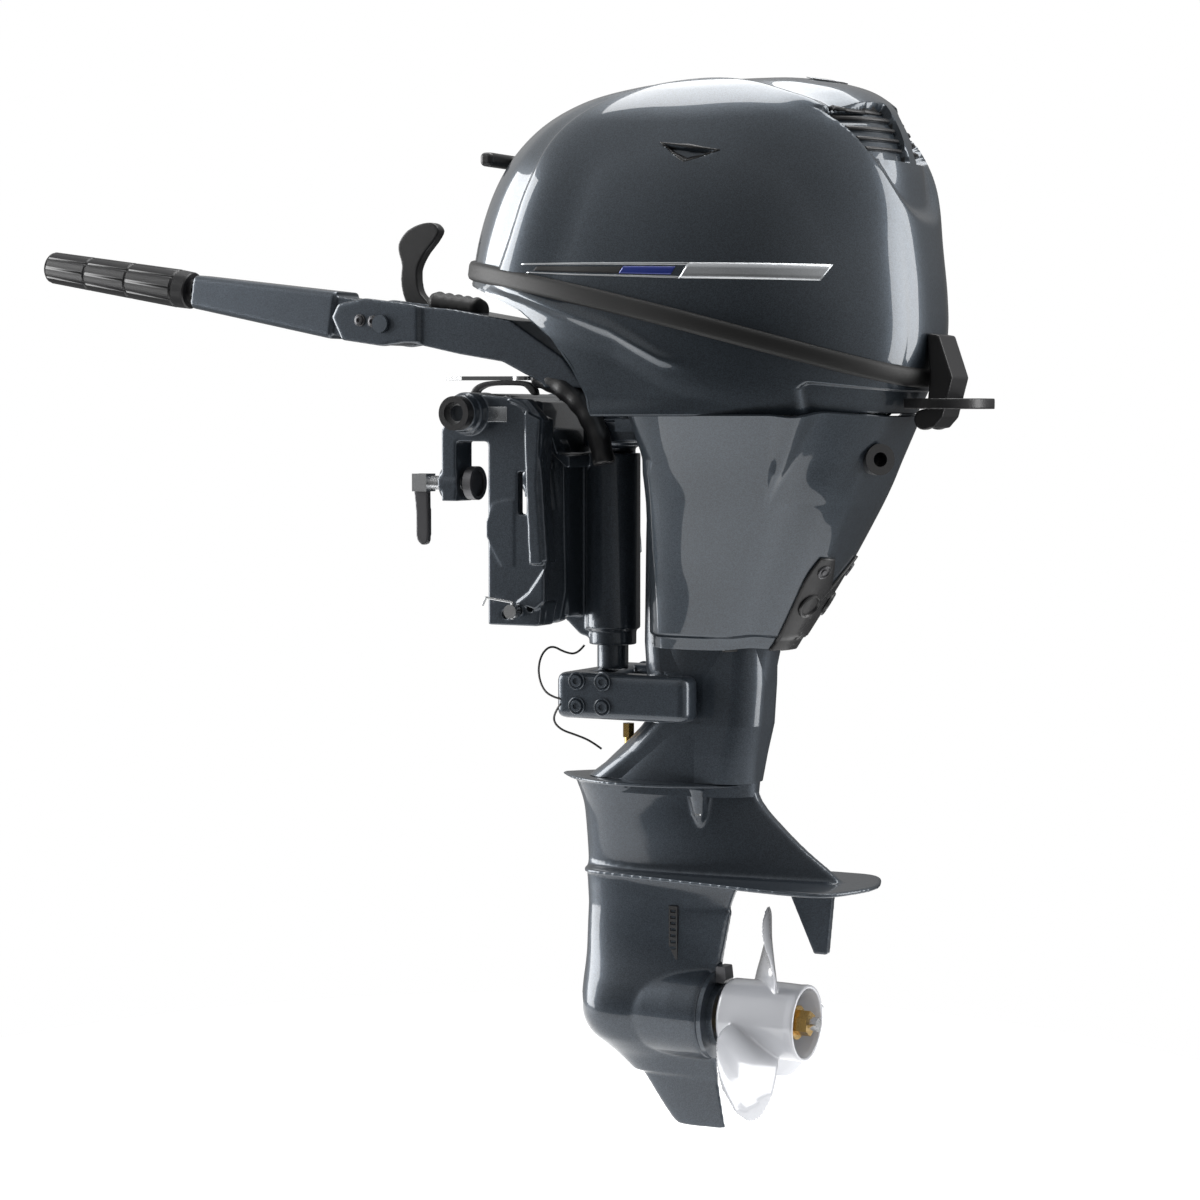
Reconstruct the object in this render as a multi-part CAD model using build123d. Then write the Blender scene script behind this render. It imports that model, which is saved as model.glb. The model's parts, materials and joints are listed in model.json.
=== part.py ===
from build123d import *
import math
import os

# Portable two-cylinder outboard motor, short shaft, with tiller steering.
# Millimetres. X runs aft, Y to starboard, Z up. The origin is on the centreline, where the
# top edge and the aft face of the boat's transom meet.

# ---- driving dimensions ----
STEER_X = 88.0          # steering axis
TILT_X = -20.0          # tilt axis, across the boat
TILT_Z = 28.0
DRIVE_X = 156.0         # crankshaft and driveshaft axis
PROP_Z = -575.0         # propeller shaft axis
SEAM_Z = 26.0           # bottom cowl to apron
SPLASH_Z = -344.0       # joint between upper case and gearcase
CAVITATION_Z = -432.0   # underside of the anti-ventilation plate
BRACKET_Y = (68.0, 101.0)
CLAMP_Y = 85.0
CLAMP_Z = -42.0
FOLD_X = -150.0         # tiller folding pivot
FOLD_Z = 120.0
TILLER_Y = -28.0
TILLER_RISE = 8.8       # degrees, rising forward
GRIP_START = 256.0      # along the tiller from its pivot
GRIP_END = 456.0
PROP_RADIUS = 117.0
RUN = 0.06              # radial clearance of shafts and pins in their holes
DRIVE_TEETH = 13
DRIVEN_TEETH = 27
TOOTH_MODULE = 2.3
CYLINDER_Z = (117, 173)   # heights of the two cylinders
CRANK_WEBS = (95, 127, 151, 183)
LATCH_PIVOT = (433.0, 22.0)
SHIFT_PIVOT = (-142.0, 138.0)
PORT = -1
STARBOARD = 1

# Rounded plan outlines of the cowl: height, front, rear, half width
COWL_ROWS = [
    (12, -60, 400, 142),
    (60, -52, 426, 156),
    (120, -50, 432, 163),
    (200, -35, 421, 160),
    (262, -15, 414, 148),
    (310, 6, 401, 122),
    (342, 56, 368, 78),
    (354, 134, 307, 40),
]
APRON_ROWS = [
    (26, 122, 405, 141),
    (-60, 130, 371, 104),
    (-130, 130, 334, 78),
    (-200, 128, 289, 57),
]
# Rounded rectangles of the upper case: height, front, rear, half width, corner radius
CASE_ROWS = [
    (22, 150, 326, 60, 24),
    (-100, 142, 292, 50, 24),
    (-200, 134, 264, 37, 24),
    (-240, 136, 264, 37, 26),
    (-280, 140, 261, 38, 26),
    (-310, 108, 255, 37, 28),
    (-338, 68, 251, 35, 30),
]
# Leg of the gearcase: height, leading edge, trailing edge, half thickness
LEG_ROWS = [
    (-344, 44, 252, 36),
    (-368, 56, 264, 31),
    (-400, 60, 298, 27),
    (-434, 61, 341, 24),
]
STRUT_ROWS = [
    (-436, 61, 226, 23),
    (-480, 64, 216, 23),
    (-562, 67, 201, 23),
]


# ---- plain shapes ----
def box(x, y, z):
    """Block between the (low, high) pairs x, y and z."""
    spans = (x, y, z)
    size = [high - low for low, high in spans]
    middle = [(high + low) / 2 for low, high in spans]
    return Pos(*middle) * Box(*size)


def rod(start, end, radius):
    """Round bar between two points."""
    along = Vector(*end) - Vector(*start)
    base = Plane(origin=start, z_dir=along)
    return base * Cylinder(radius, along.length, align=(Align.CENTER, Align.CENTER, Align.MIN))


def pipe(start, end, outer, inner):
    """Round tube between two points."""
    return rod(start, end, outer) - rod(start, end, inner)


def outline(points, radius=0.0):
    """Closed polygon, with its corners rounded."""
    face = make_face(Polyline(*points, close=True))
    return fillet(face.vertices(), radius) if radius else face


def side_prism(points, y, radius=0.0):
    """Outline in X and Z, extruded across the (low, high) pair y."""
    return extrude(Plane.XZ.offset(-y[1]) * outline(points, radius), y[1] - y[0])


def plan_prism(points, z, radius=0.0):
    """Outline in X and Y, extruded up across the (low, high) pair z."""
    return extrude(Plane.XY.offset(z[0]) * outline(points, radius), z[1] - z[0])


def end_prism(points, x, radius=0.0):
    """Outline in Y and Z, extruded aft across the (low, high) pair x."""
    return extrude(Plane.YZ.offset(x[0]) * outline(points, radius), x[1] - x[0])


def oval(row, inset=0.0):
    """Egg-shaped outline of one row with a blunt front, moved inward by inset."""
    height, front, rear, half_width = row
    front, rear, half_width = front + inset, rear - inset, half_width - inset
    length = rear - front
    starboard = [(front, 0.55 * half_width), (front + 0.26 * length, half_width),
                 (front + 0.60 * length, 0.97 * half_width), (rear, 0.42 * half_width)]
    port = [(x, -y) for x, y in reversed(starboard)]
    return Plane.XY.offset(height) * outline(starboard + port, 0.48 * half_width)


def oval_body(rows, inset=0.0, lower_top=0.0):
    """Loft through the rows, with the last ones lowered where the roof has a thickness."""
    highest = max(row[0] for row in rows)
    sections = []
    for row in rows:
        drop = lower_top if highest - row[0] < 60 else 0.0
        sections.append(oval((row[0] - drop, *row[1:]), inset))
    return loft(sections, ruled=True)


def rounded_body(rows, inset=0.0):
    """Loft through rounded rectangles, moved inward by inset."""
    sections = []
    for height, front, rear, half_width, radius in rows:
        size = (rear - front - 2 * inset, 2 * (half_width - inset))
        centre = Plane(origin=((front + rear) / 2, 0, height))
        sections.append(centre * RectangleRounded(*size, max(2.0, radius - inset)))
    return loft(sections, ruled=True)


def foil(height, nose, tail, half_thickness, blunt=3.0):
    """Streamlined outline with an arched nose, straight flanks and a thin, cut-off tail."""
    shoulder, flank = nose + 0.3 * (tail - nose), nose + 0.65 * (tail - nose)
    corners = [(shoulder, half_thickness), (flank, 0.82 * half_thickness), (tail, blunt),
               (tail, -blunt), (flank, -0.82 * half_thickness), (shoulder, -half_thickness)]
    nose_arc = ThreePointArc(corners[-1], (nose, 0), corners[0])
    flanks = Polyline(*corners)
    return Plane.XY.offset(height) * make_face([nose_arc, flanks])


def hexagon_prism(centre, axis, width, height):
    """Hexagonal nut or bolt head standing on centre along axis."""
    base = Plane(origin=centre, z_dir=axis)
    return extrude(base * RegularPolygon(width / math.sqrt(3), 6), height)


def bolt(seat, axis, shank_radius, head_width, shank_length):
    """Hexagon bolt with its head standing on seat and its shank going back along axis."""
    direction = Vector(*axis).normalized()
    seat_point = Vector(*seat)
    tip = seat_point - direction * shank_length
    head = hexagon_prism(seat, axis, head_width, head_width * 0.55)
    return head + rod(tuple(tip), tuple(seat_point + direction), shank_radius)


def mirrored(shape):
    return mirror(shape, Plane.XZ)


def write(name, *solids):
    """One STEP file for one sub-part."""
    shape = solids[0] if len(solids) == 1 else Compound(children=[s for part in solids for s in part.solids()])
    export_step(shape, f"parts/{name}.step")


# ---- transom clamp ----
def bracket_plate():
    """Port clamp bracket: side plate, transom leg, top hook and the ear for the clamp screw."""
    inner, outer = BRACKET_Y
    side = side_prism(
        [(-44, 30), (-26, 48), (46, 42), (64, 22), (60, -40), (66, -122), (58, -183), (0, -183), (0, 0),
         (-37, 0), (-37, -20), (-54, -20), (-54, 10)],
        (-outer, -outer + 12), 4)
    hook = side_prism([(-52, 0), (-48, 30), (-26, 46), (46, 40), (46, 0)], (-outer, -inner), 4)
    leg = box((0, 12), (-outer, -inner), (-183, 4))
    rear_rib = side_prism([(44, 30), (62, 22), (58, -40), (64, -121), (50, -121), (46, -40)],
                          (-outer - 5, -inner - 8), 2)
    foot = side_prism([(0, -165), (62, -158), (56, -183), (0, -183)], (-outer, -inner), 2)
    ear = box((-54, -37), (-outer, -inner), (-60, 12))
    boss = rod((-58, -CLAMP_Y, CLAMP_Z), (-36, -CLAMP_Y, CLAMP_Z), 17)
    tilt_boss = rod((TILT_X, -outer - 12, TILT_Z), (TILT_X, -inner, TILT_Z), 21)
    body = side + hook + leg + rear_rib + foot + ear + boss + tilt_boss
    window = box((34, 44), (-outer - 1, -outer + 13), (-72, -30))
    body -= window
    body -= rod((TILT_X, -outer - 20, TILT_Z), (TILT_X, -inner + 1, TILT_Z), 11.0)
    body -= rod((-60, -CLAMP_Y, CLAMP_Z), (-30, -CLAMP_Y, CLAMP_Z), 7.0 + RUN)
    for height in (-90, -150):
        body -= rod((-1, -CLAMP_Y, height), (14, -CLAMP_Y, height), 4.25)
    for x, z in ((20, -172), (34, -168), (48, -164)):
        body -= rod((x, -outer - 1, z), (x, -inner + 1, z), 4.5)
    return body


def clamp_screw_parts():
    """Port pad, screw and hanging handle. The screw turns in the pad and in the bracket's ear."""
    y, z = -CLAMP_Y, CLAMP_Z
    pad = rod((-29, y, z), (-20, y, z), 17)
    pad -= rod((-22.5, y, z), (-19, y, z), 13)
    pad += rod((-34, y, z), (-29, y, z), 9)
    pad -= rod((-35, y, z), (-27, y, z), 5 + RUN)
    screw = rod((-78, y, z), (-35, y, z), 7.0) + rod((-78, y, z), (-27.3, y, z), 5.0)
    for turn in range(8):
        start = -74 + 2.0 * turn
        groove = pipe((start, y, z), (start + 0.9, y, z), 8, 6.4)
        screw -= groove
    pin_x = -86
    fork = box((-93, -76), (y - 9, y + 9), (z - 9, z + 9))
    fork -= box((-94, -79), (y - 3.5, y + 3.5), (z - 10, z + 10))
    screw += fork + rod((pin_x, y - 9, z), (pin_x, y + 9, z), 3)
    handle = rod((pin_x, y - 3.2, z), (pin_x, y + 3.2, z), 6.2)
    handle += side_prism([(pin_x - 5, z), (pin_x + 5, z), (pin_x + 5, z - 30), (pin_x + 6.5, z - 54),
                          (pin_x + 3, z - 62), (pin_x - 3, z - 62), (pin_x - 6.5, z - 54), (pin_x - 5, z - 30)],
                         (y - 3.2, y + 3.2), 1.5)
    handle -= rod((pin_x, y - 10, z), (pin_x, y + 10, z), 3 + RUN)
    handle -= rod((pin_x, y - 10, z - 54), (pin_x, y + 10, z - 54), 2.5)
    return pad, screw, handle


def trim_pin_parts():
    """Pin across both brackets that sets the trim, with its wire bail on the port end."""
    x, z = 34, -168
    outer = BRACKET_Y[1]
    pin = rod((x, -outer - 16, z), (x, outer + 10, z), 4.4)
    pin += rod((x, -outer - 16, z), (x, -outer - 6, z), 7)
    pin -= rod((x, -outer - 11, z - 8), (x, -outer - 11, z + 8), 1.2 + RUN)
    pivot_y = -outer - 11
    bail = rod((x, pivot_y, z - 7.6), (x, pivot_y, z + 9), 1.2)
    bail += rod((x, pivot_y, z + 9), (x - 30, pivot_y, z + 13), 1.2)
    bail += rod((x - 30, pivot_y, z + 13), (x - 34, pivot_y, z + 5), 1.2)
    bail += Pos(x, pivot_y, z + 9) * Sphere(1.2) + Pos(x - 30, pivot_y, z + 13) * Sphere(1.2)
    return pin, bail


# ---- swivel bracket ----
def swivel_parts():
    """Casting that tilts between the clamp brackets and carries the steering tube."""
    inner = BRACKET_Y[0]
    half = inner - 2.0
    hub = rod((TILT_X, -half, TILT_Z), (TILT_X, half, TILT_Z), 20)
    top_web = side_prism([(-20, 44), (28, 40), (52, 12), (60, -12), (74, -14), (74, -30), (30, 8), (-16, 12)],
                         (-half, half), 3)
    arm_outline = [(16, 34), (30, 34), (60, -4), (62, -150), (56, -180), (44, -184), (30, -120), (16, -40)]
    arms = [side_prism(arm_outline, (side * 46 - 7, side * 46 + 7), 3) for side in (PORT, STARBOARD)]
    back = box((44, 62), (-46, 46), (-176, -20))
    housing = rod((STEER_X, 0, -190), (STEER_X, 0, -12), 28)
    gusset = side_prism([(40, -150), (88, -150), (88, -205), (58, -196), (40, -180)], (-16, 16), 3)
    collar = rod((STEER_X, 0, -206), (STEER_X, 0, -188), 24)
    body = hub + top_web + arms[0] + arms[1] + back + housing + gusset + collar
    body -= rod((TILT_X, -inner, TILT_Z), (TILT_X, inner, TILT_Z), 14)
    body -= rod((STEER_X, 0, -210), (STEER_X, 0, 0), 19)
    body += rod((40, -63, -24), (40, -50, -24), 4)
    tilt_bushes = [pipe((TILT_X, side * half, TILT_Z), (TILT_X, side * (half - 30), TILT_Z), 14, 11 + RUN)
                   for side in (PORT, STARBOARD)]
    steering_bushes = [pipe((STEER_X, 0, low), (STEER_X, 0, low + 24), 19, 16 + RUN) for low in (-206, -36)]
    return body, [*tilt_bushes, *steering_bushes]


def tilt_support_lever():
    """Lever on the swivel bracket's port arm that props the motor when it is tilted up."""
    x, y, z = 40, -58, -24
    lever = rod((x, y - 4, z), (x, y + 3, z), 9)
    lever += side_prism([(x - 6, z), (x + 6, z), (x + 12, z - 44), (x + 2, z - 46)], (y - 4, y + 2), 2)
    lever -= rod((x, y - 5, z), (x, y + 6, z), 4 + RUN)
    return lever


def steering_friction_lever():
    """Flat lever over the swivel bracket that sets the steering friction."""
    lever = plan_prism([(-98, -22), (-74, -26), (-20, -8), (-16, 8), (-74, -10), (-98, -12)], (62, 66), 2)
    lever += rod((-16, 0, 62), (-16, 0, 66), 12)
    lever -= rod((-16, 0, 60), (-16, 0, 68), 5 + RUN)
    return lever


# ---- steering bracket and tiller ----
def steering_bracket():
    """Pivot tube with the arm that goes forward to the tiller and aft to the upper mounts."""
    tube = pipe((STEER_X, 0, -232), (STEER_X, 0, 20), 16, 9)
    head = rod((STEER_X, 0, -5.5), (STEER_X, 0, 21), 30) + rod((STEER_X, 0, -11.7), (STEER_X, 0, 0), 23)
    head -= rod((STEER_X, 0, -12), (STEER_X, 0, 25), 15.9)
    yoke = box((STEER_X, 138), (-44, 44), (0, 20)) - rod((STEER_X, 0, -1), (STEER_X, 0, 21), 15.9)
    neck = side_prism([(110, 0), (110, 22), (60, 84), (0, 122), (-70, 134), (-112, 138), (-118, 100), (-60, 88),
                       (-10, 80), (36, 58), (72, 2)], (-56, 20), 3)
    neck -= box((-60, 111), (-70, 70), (-2, 53)) - rod((STEER_X, 0, -3), (STEER_X, 0, 54), 29.9)
    neck += rod((STEER_X, 0, 20), (STEER_X, 0, 60), 30) - rod((STEER_X, 0, 19), (STEER_X, 0, 61), 15.9)
    cheeks = [side_prism([(-108, 102), (-108, 139), (-172, 147), (-204, 142), (-212, 128), (-200, 104),
                          (-150, 97)],
                         span, 3) for span in ((-60, -50), (-6, 4))]
    web = box((-122, -106), (-60, 4), (100, 138))
    body = tube + head + yoke + neck + cheeks[0] + cheeks[1] + web
    body -= rod((FOLD_X, -61, FOLD_Z), (FOLD_X, 5, FOLD_Z), 6)
    x, z = SHIFT_PIVOT
    return body + rod((x, 2, z), (x, 25, z), 5)


def tiller_plane():
    """Plane at the folding pivot, with its X axis along the tiller and its Y axis across it."""
    rise = math.radians(TILLER_RISE)
    return Plane(origin=(FOLD_X, TILLER_Y, FOLD_Z), x_dir=(-math.cos(rise), 0, math.sin(rise)),
                 z_dir=(math.sin(rise), 0, math.cos(rise)))


def tiller_parts():
    """Arm and twist grip, drawn along X from the pivot and then set at the tiller's slope."""
    place = tiller_plane()
    knuckle = rod((0, -21.7, 0), (0, 21.7, 0), 22)
    knuckle += box((0, 72), (-21.7, 21.7), (-20, 20))
    arm = loft([
        Plane.YZ.offset(66) * fillet(Rectangle(50, 50).vertices(), 7),
        Plane.YZ.offset(252) * fillet(Rectangle(36, 36).vertices(), 8),
    ])
    spindle = rod((250, 0, 0), (GRIP_END - 12, 0, 0), 9)
    arm = arm + knuckle + spindle
    arm -= rod((0, -30, 0), (0, 30, 0), 6 + RUN)
    grip = rod((GRIP_START, 0, 0), (GRIP_END, 0, 0), 16) + rod((GRIP_START, 0, 0), (GRIP_START + 20, 0, 0), 21)
    grip -= rod((GRIP_START - 1, 0, 0), (GRIP_END - 11.7, 0, 0), 9 + RUN)
    for groove_at in (GRIP_START + 66, GRIP_START + 112):
        grip -= pipe((groove_at, 0, 0), (groove_at + 2, 0, 0), 17, 14.5)
    return place * arm, place * grip


def tiller_pivot_bolt():
    """Shouldered bolt across the steering bracket's two cheeks, through the tiller's knuckle."""
    shaft = rod((FOLD_X, -60.5, FOLD_Z), (FOLD_X, 4.5, FOLD_Z), 6)
    shaft += rod((FOLD_X, -64, FOLD_Z), (FOLD_X, -60, FOLD_Z), 9)
    return shaft + hexagon_prism((FOLD_X, 4, FOLD_Z), (0, 1, 0), 17, 7)


def shift_lever():
    """Gear lever beside the tiller's root, with its ball end."""
    x, z = SHIFT_PIVOT
    y = 18
    lever = rod((x, y - 5.5, z), (x, y + 5.5, z), 13)
    lever += side_prism([(x - 11, z), (x + 9, z), (x + 3, z + 44), (x + 20, z + 82), (x + 14, z + 90),
                         (x - 8, z + 84),
                         (x - 26, z + 66), (x - 22, z + 58), (x - 10, z + 60)], (y - 5, y + 5), 3)
    return lever - rod((x, y - 10, z), (x, y + 8, z), 5 + RUN)


# ---- cowls ----
def band_region(offset_low, offset_high):
    """Region between two copies of the seal's arched centre line, shifted up or down."""
    front, crown, rear = (-140, 187), (170, 134), (520, 30)

    def line(shift):
        return ThreePointArc(*[(x, z + shift) for x, z in (front, crown, rear)])

    low, high = line(offset_low), line(offset_high)
    ends = [Line(low @ 0, high @ 0), Line(low @ 1, high @ 1)]
    return extrude(Plane.XZ.offset(-250) * make_face([low, high, *ends]), 500)


def intake_region(side):
    """Region of the air intake on one side of the cowl's rear spine."""
    region = end_prism([(-8, 270), (-8, 322), (-60, 324), (-92, 312), (-84, 286), (-52, 268)], (300, 460), 4)
    return region if side == PORT else mirrored(region)


def cowl_parts():
    """Top cowl, the black seal under it, the air intakes and the bottom cowl's outer form."""
    outer = oval_body(COWL_ROWS)
    inner = oval_body(COWL_ROWS, 3.5, 4.0)
    above, below = band_region(8, 420), band_region(-400, -9)
    top = (outer & above) - inner
    handle_hole = rod((-60, 0, 285), (40, 0, 285), 7)
    top -= handle_hole
    grilles = []
    core = oval_body(COWL_ROWS, 2.5, 3.0)
    behind = oval_body(COWL_ROWS, 7.0, 8.0)
    for side in (PORT, STARBOARD):
        region = intake_region(side)
        grilles.append((core & region) - behind)
        top -= region
    proud, hollow = oval_body(COWL_ROWS, -2.0, -1.0), oval_body(COWL_ROWS, 6.0, 6.0)
    seal = (proud - hollow) & band_region(-8.7, 7.7)
    underside = side_prism(
        [(-160, 10), (-160, 166), (-60, 160), (0, 152), (64, 128), (101, 100), (122, 73), (135, 47), (140, 26),
         (140, 10)], (-250, 250))
    inner_underside = underside.moved(Location((4, 0, 4)))
    form = (outer & below) - box((-200, 600), (-300, 300), (-50, SEAM_Z)) - underside
    cavity = (inner & below) - box((-200, 600), (-300, 300), (-50, SEAM_Z + 4)) - inner_underside
    bottom = form - cavity
    bottom -= box((-30, 130), (-59, 23), (20, 170))
    bottom -= box((100, 376), (-76, 76), (10, 60))
    x, z = LATCH_PIVOT
    lug = side_prism([(396, 30), (x - 6, z + 8), (x + 7, z), (x, z - 7), (392, 28)], (-12, 12), 1.5) - inner
    bottom += lug
    bottom -= rod((x, -20, z), (x, 20, z), 3 + RUN)
    return top, seal, grilles, bottom


def rear_handle():
    """Loop under the latch for lifting and tilting the motor."""
    loop = plan_prism([(404, -56), (466, -50), (491, -28), (491, 28), (466, 50), (404, 56)], (32, 43), 6)
    loop -= plan_prism([(380, -45), (462, -40), (480, -25), (480, 25), (462, 40), (380, 45)], (20, 60), 5)
    return loop - oval_body(COWL_ROWS[:3])


def cowl_latch():
    """Hook lever at the back of the cowl, on its own pin through the bottom cowl's lug."""
    x, z = LATCH_PIVOT
    profile = [(436, 104), (448, 102), (462, 62), (452, 24), (443, 14), (433, 13), (430, 22), (436, 34),
               (439, 60)]
    lever = side_prism(profile, (-22, 22), 2)
    cheek = rod((x, -22, z), (x, 22, z), 10)
    lever += cheek
    lever -= box((x - 40, x + 9), (-12.4, 12.4), (z - 11, z + 14)) & rod((x, -13, z), (x, 13, z), 10.8)
    lever -= oval_body(COWL_ROWS[:4], -3.0)
    return lever + rod((x, -14, z), (x, 14, z), 3)


def starter_handle():
    """Pull handle of the recoil starter, with its stem in the cowl's front."""
    bar = fillet(box((-42, -27), (-45, 45), (278, 292)).edges(), 5)
    return bar + rod((-29, 0, 285), (8, 0, 285), 5)


# ---- middle section ----
def apron_shell():
    """Thin cover around the upper case, open at the front around the swivel."""
    body = oval_body(APRON_ROWS) - oval_body(APRON_ROWS, 3.5)
    body -= side_prism([(100, 40), (163, 40), (174, -10), (168, -60), (158, -120), (148, -190), (150, -201),
                        (100, -201)],
                       (-90, 90))
    body -= rod(*flush_axis(), 9.9)
    return body - box((396, 420), (-13, 13), (22, 30))


def flush_axis():
    """Start and end of the hose connector, through the apron's port rear corner."""
    return (352, -1, -16), (398, -43, -16)


def flush_fitting():
    """Hose connector in the apron's rear corner, open at its outer end."""
    start, end = flush_axis()
    along = (Vector(*end) - Vector(*start)).normalized()
    ring_start, mouth = Vector(*end) - along * 12, Vector(*end) - along * 16
    ring = rod(tuple(ring_start), end, 15) - oval_body(APRON_ROWS)
    return ring + rod(start, end, 9.9) - rod(tuple(mouth), tuple(Vector(*end) + along), 7)


def exhaust_outlets():
    """Black corner mouldings low on the apron, with the idle exhaust's outlet."""
    shell = oval_body(APRON_ROWS, -3.0) - oval_body(APRON_ROWS)
    region = side_prism([(280, -206), (272, -196), (300, -150), (322, -108), (372, -100), (372, -206)],
                        (-90, -8), 2)
    outlet = rod((360, -40, -154), (280, 2, -154), 10)
    port = (shell & region) - outlet
    return port, mirrored(port)


def upper_case():
    """Driveshaft housing from the powerhead down to the splash plate."""
    body = rounded_body(CASE_ROWS)
    body += box((128, 346), (-72, 72), (10, 22))
    body -= rod((DRIVE_X + 50, 0, -330), (DRIVE_X + 50, 0, 30), 22)
    body -= rod((DRIVE_X, 0, -340), (DRIVE_X, 0, 30), 11)
    body -= rod((DRIVE_X, 0, -340), (DRIVE_X, 0, -300), 21)
    body -= box((215, 300), (-30, 30), (-330, -30)) & rounded_body(CASE_ROWS, 6.0)
    body -= box((110, 142), (-46.5, 46.5), (-2, 23))
    body -= box((60, 206), (-80, 80), (-278, -228)) - rod((165, 0, -300), (165, 0, -200), 34)
    body -= box((100, 128), (-8, 8), (-345, -240))
    for x in (100, 198):
        for side in (PORT, STARBOARD):
            body -= rod((x, side * 24, -340), (x, side * 24, -331), 3.1)
    return body


def mount_parts():
    """Lower mount cover around the steering tube's foot, rubber mounts and their bolts."""
    cover = plan_prism([(60, -58), (76, -74), (196, -74), (206, -60), (206, 60), (196, 74), (76, 74), (60, 58)],
                       (-277, -229), 6)
    cover -= box((104, 210), (-47, 47), (-290, -220))
    cover -= rod((STEER_X, 0, -290), (STEER_X, 0, -220), 16.02)
    for side in (PORT, STARBOARD):
        for x, z in ((74, -240), (96, -240), (74, -266), (96, -266)):
            cover -= rod((x, side * 69, z), (x, side * 80, z), 6)
    lower = [box((112, 152), (side * 40 - 6.5, side * 40 + 6.5), (-272, -234)) for side in (PORT, STARBOARD)]
    upper = [box((138, 142), (side * 30 - 10, side * 30 + 10), (2, 18)) for side in (PORT, STARBOARD)]
    bolts = []
    for side in (PORT, STARBOARD):
        for x, z in ((74, -240), (96, -240), (74, -266), (96, -266)):
            bolts.append(rod((x, side * 69, z), (x, side * 73, z), 5))
    return cover, lower + upper, bolts


# ---- gearcase ----
def gearcase():
    """Splash plate, leg, anti-ventilation plate, torpedo and skeg in one casting."""
    splash = plan_prism([(28, 0), (62, -36), (106, -58), (240, -62), (252, -50), (252, 50), (240, 62),
                         (106, 58), (62, 36)], (SPLASH_Z, SPLASH_Z + 6), 6)
    leg = loft([foil(*row) for row in LEG_ROWS], ruled=True)
    plate = plan_prism([(62, -14), (84, -36), (210, -56), (330, -72), (352, -66), (378, -12), (378, 12),
                        (352, 66), (330, 72), (210, 56), (84, 36), (62, 14)], (CAVITATION_Z - 6, CAVITATION_Z), 5)
    strut = loft([foil(*row) for row in STRUT_ROWS], ruled=True)
    nose = ThreePointArc((62, 0), (84, 30), (150, 45))
    profile = make_face([nose, Polyline((150, 45), (204, 46), (204, 0), (62, 0))])
    torpedo = Pos(0, 0, PROP_Z) * revolve(Plane.XZ * profile, Axis.X)
    skeg = side_prism([(86, -596), (158, -688), (166, -694), (217, -694), (206, -640), (200, -600)], (-5, 5), 3)
    bosses = [rod((x, side * 24, -372), (x, side * 24, SPLASH_Z), 9)
              for x in (100, 198) for side in (PORT, STARBOARD)]
    body = torpedo + strut + skeg + plate + leg + splash
    for boss in bosses:
        body += boss
    body -= rod((DRIVE_X, 0, PROP_Z), (DRIVE_X, 0, -330), 12)
    body -= rod((DRIVE_X, 0, PROP_Z), (DRIVE_X, 0, PROP_Z + 52), 21)
    body -= rod((88, 0, PROP_Z), (205, 0, PROP_Z), 15)
    body -= rod((100, 0, PROP_Z), (205, 0, PROP_Z), 37)
    body -= rod((106, 0, -560), (106, 0, -330), 5.2)
    body -= box((180, 214), (-12, 12), (-520, -330))
    for side in (PORT, STARBOARD):
        low, high = sorted((side * 30, side * 13))
        body -= box((161, 171), (low, high), (-520, -466))
        for x in (100, 198):
            body -= rod((x, side * 24, -380), (x, side * 24, -366), 7)
            body -= rod((x, side * 24, -380), (x, side * 24, -330), 3.2)
    body -= rod((306, 0, -460), (306, 0, -425), 3.2)
    body -= pipe((204, 0, PROP_Z), (209.2, 0, PROP_Z), 44.1, 30)
    return body


def leg_fittings():
    """Case bolts, water inlet screens, anode and bearing carrier."""
    case_bolts = [bolt((x, side * 24, -366), (0, 0, -1), 3.1, 9.5, 34)
                  for x in (100, 198) for side in (PORT, STARBOARD)]
    screens = []
    for side in (PORT, STARBOARD):
        low, high = sorted((side * 18.5, side * 15))
        screen = box((161.2, 170.8), (low, high), (-519.8, -466.2))
        for slot in range(7):
            z = -510 + 6.2 * slot
            screen -= box((163, 169), (-30, 30), (z, z + 3))
        screens.append(screen)
    anode = side_prism([(209.2, -525), (219, -525), (220.5, -538), (218, -542), (209.2, -541)], (-9, 9), 1.5)
    carrier = pipe((182, 0, PROP_Z), (204, 0, PROP_Z), 36.9, 28)
    carrier += pipe((186, 0, PROP_Z), (216, 0, PROP_Z), 32, 11 + RUN)
    carrier += pipe((204, 0, PROP_Z), (209, 0, PROP_Z), 44, 20)
    carrier -= anode
    return case_bolts, screens, anode, carrier


def trim_tab():
    """Small fin under the plate that balances the steering pull."""
    fin = side_prism([(284, -438.3), (334, -438.3), (328, -504), (314, -504)], (-4, 4), 1.5)
    return fin + rod((306, 0, -438.3), (306, 0, -426), 3.1)


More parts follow.
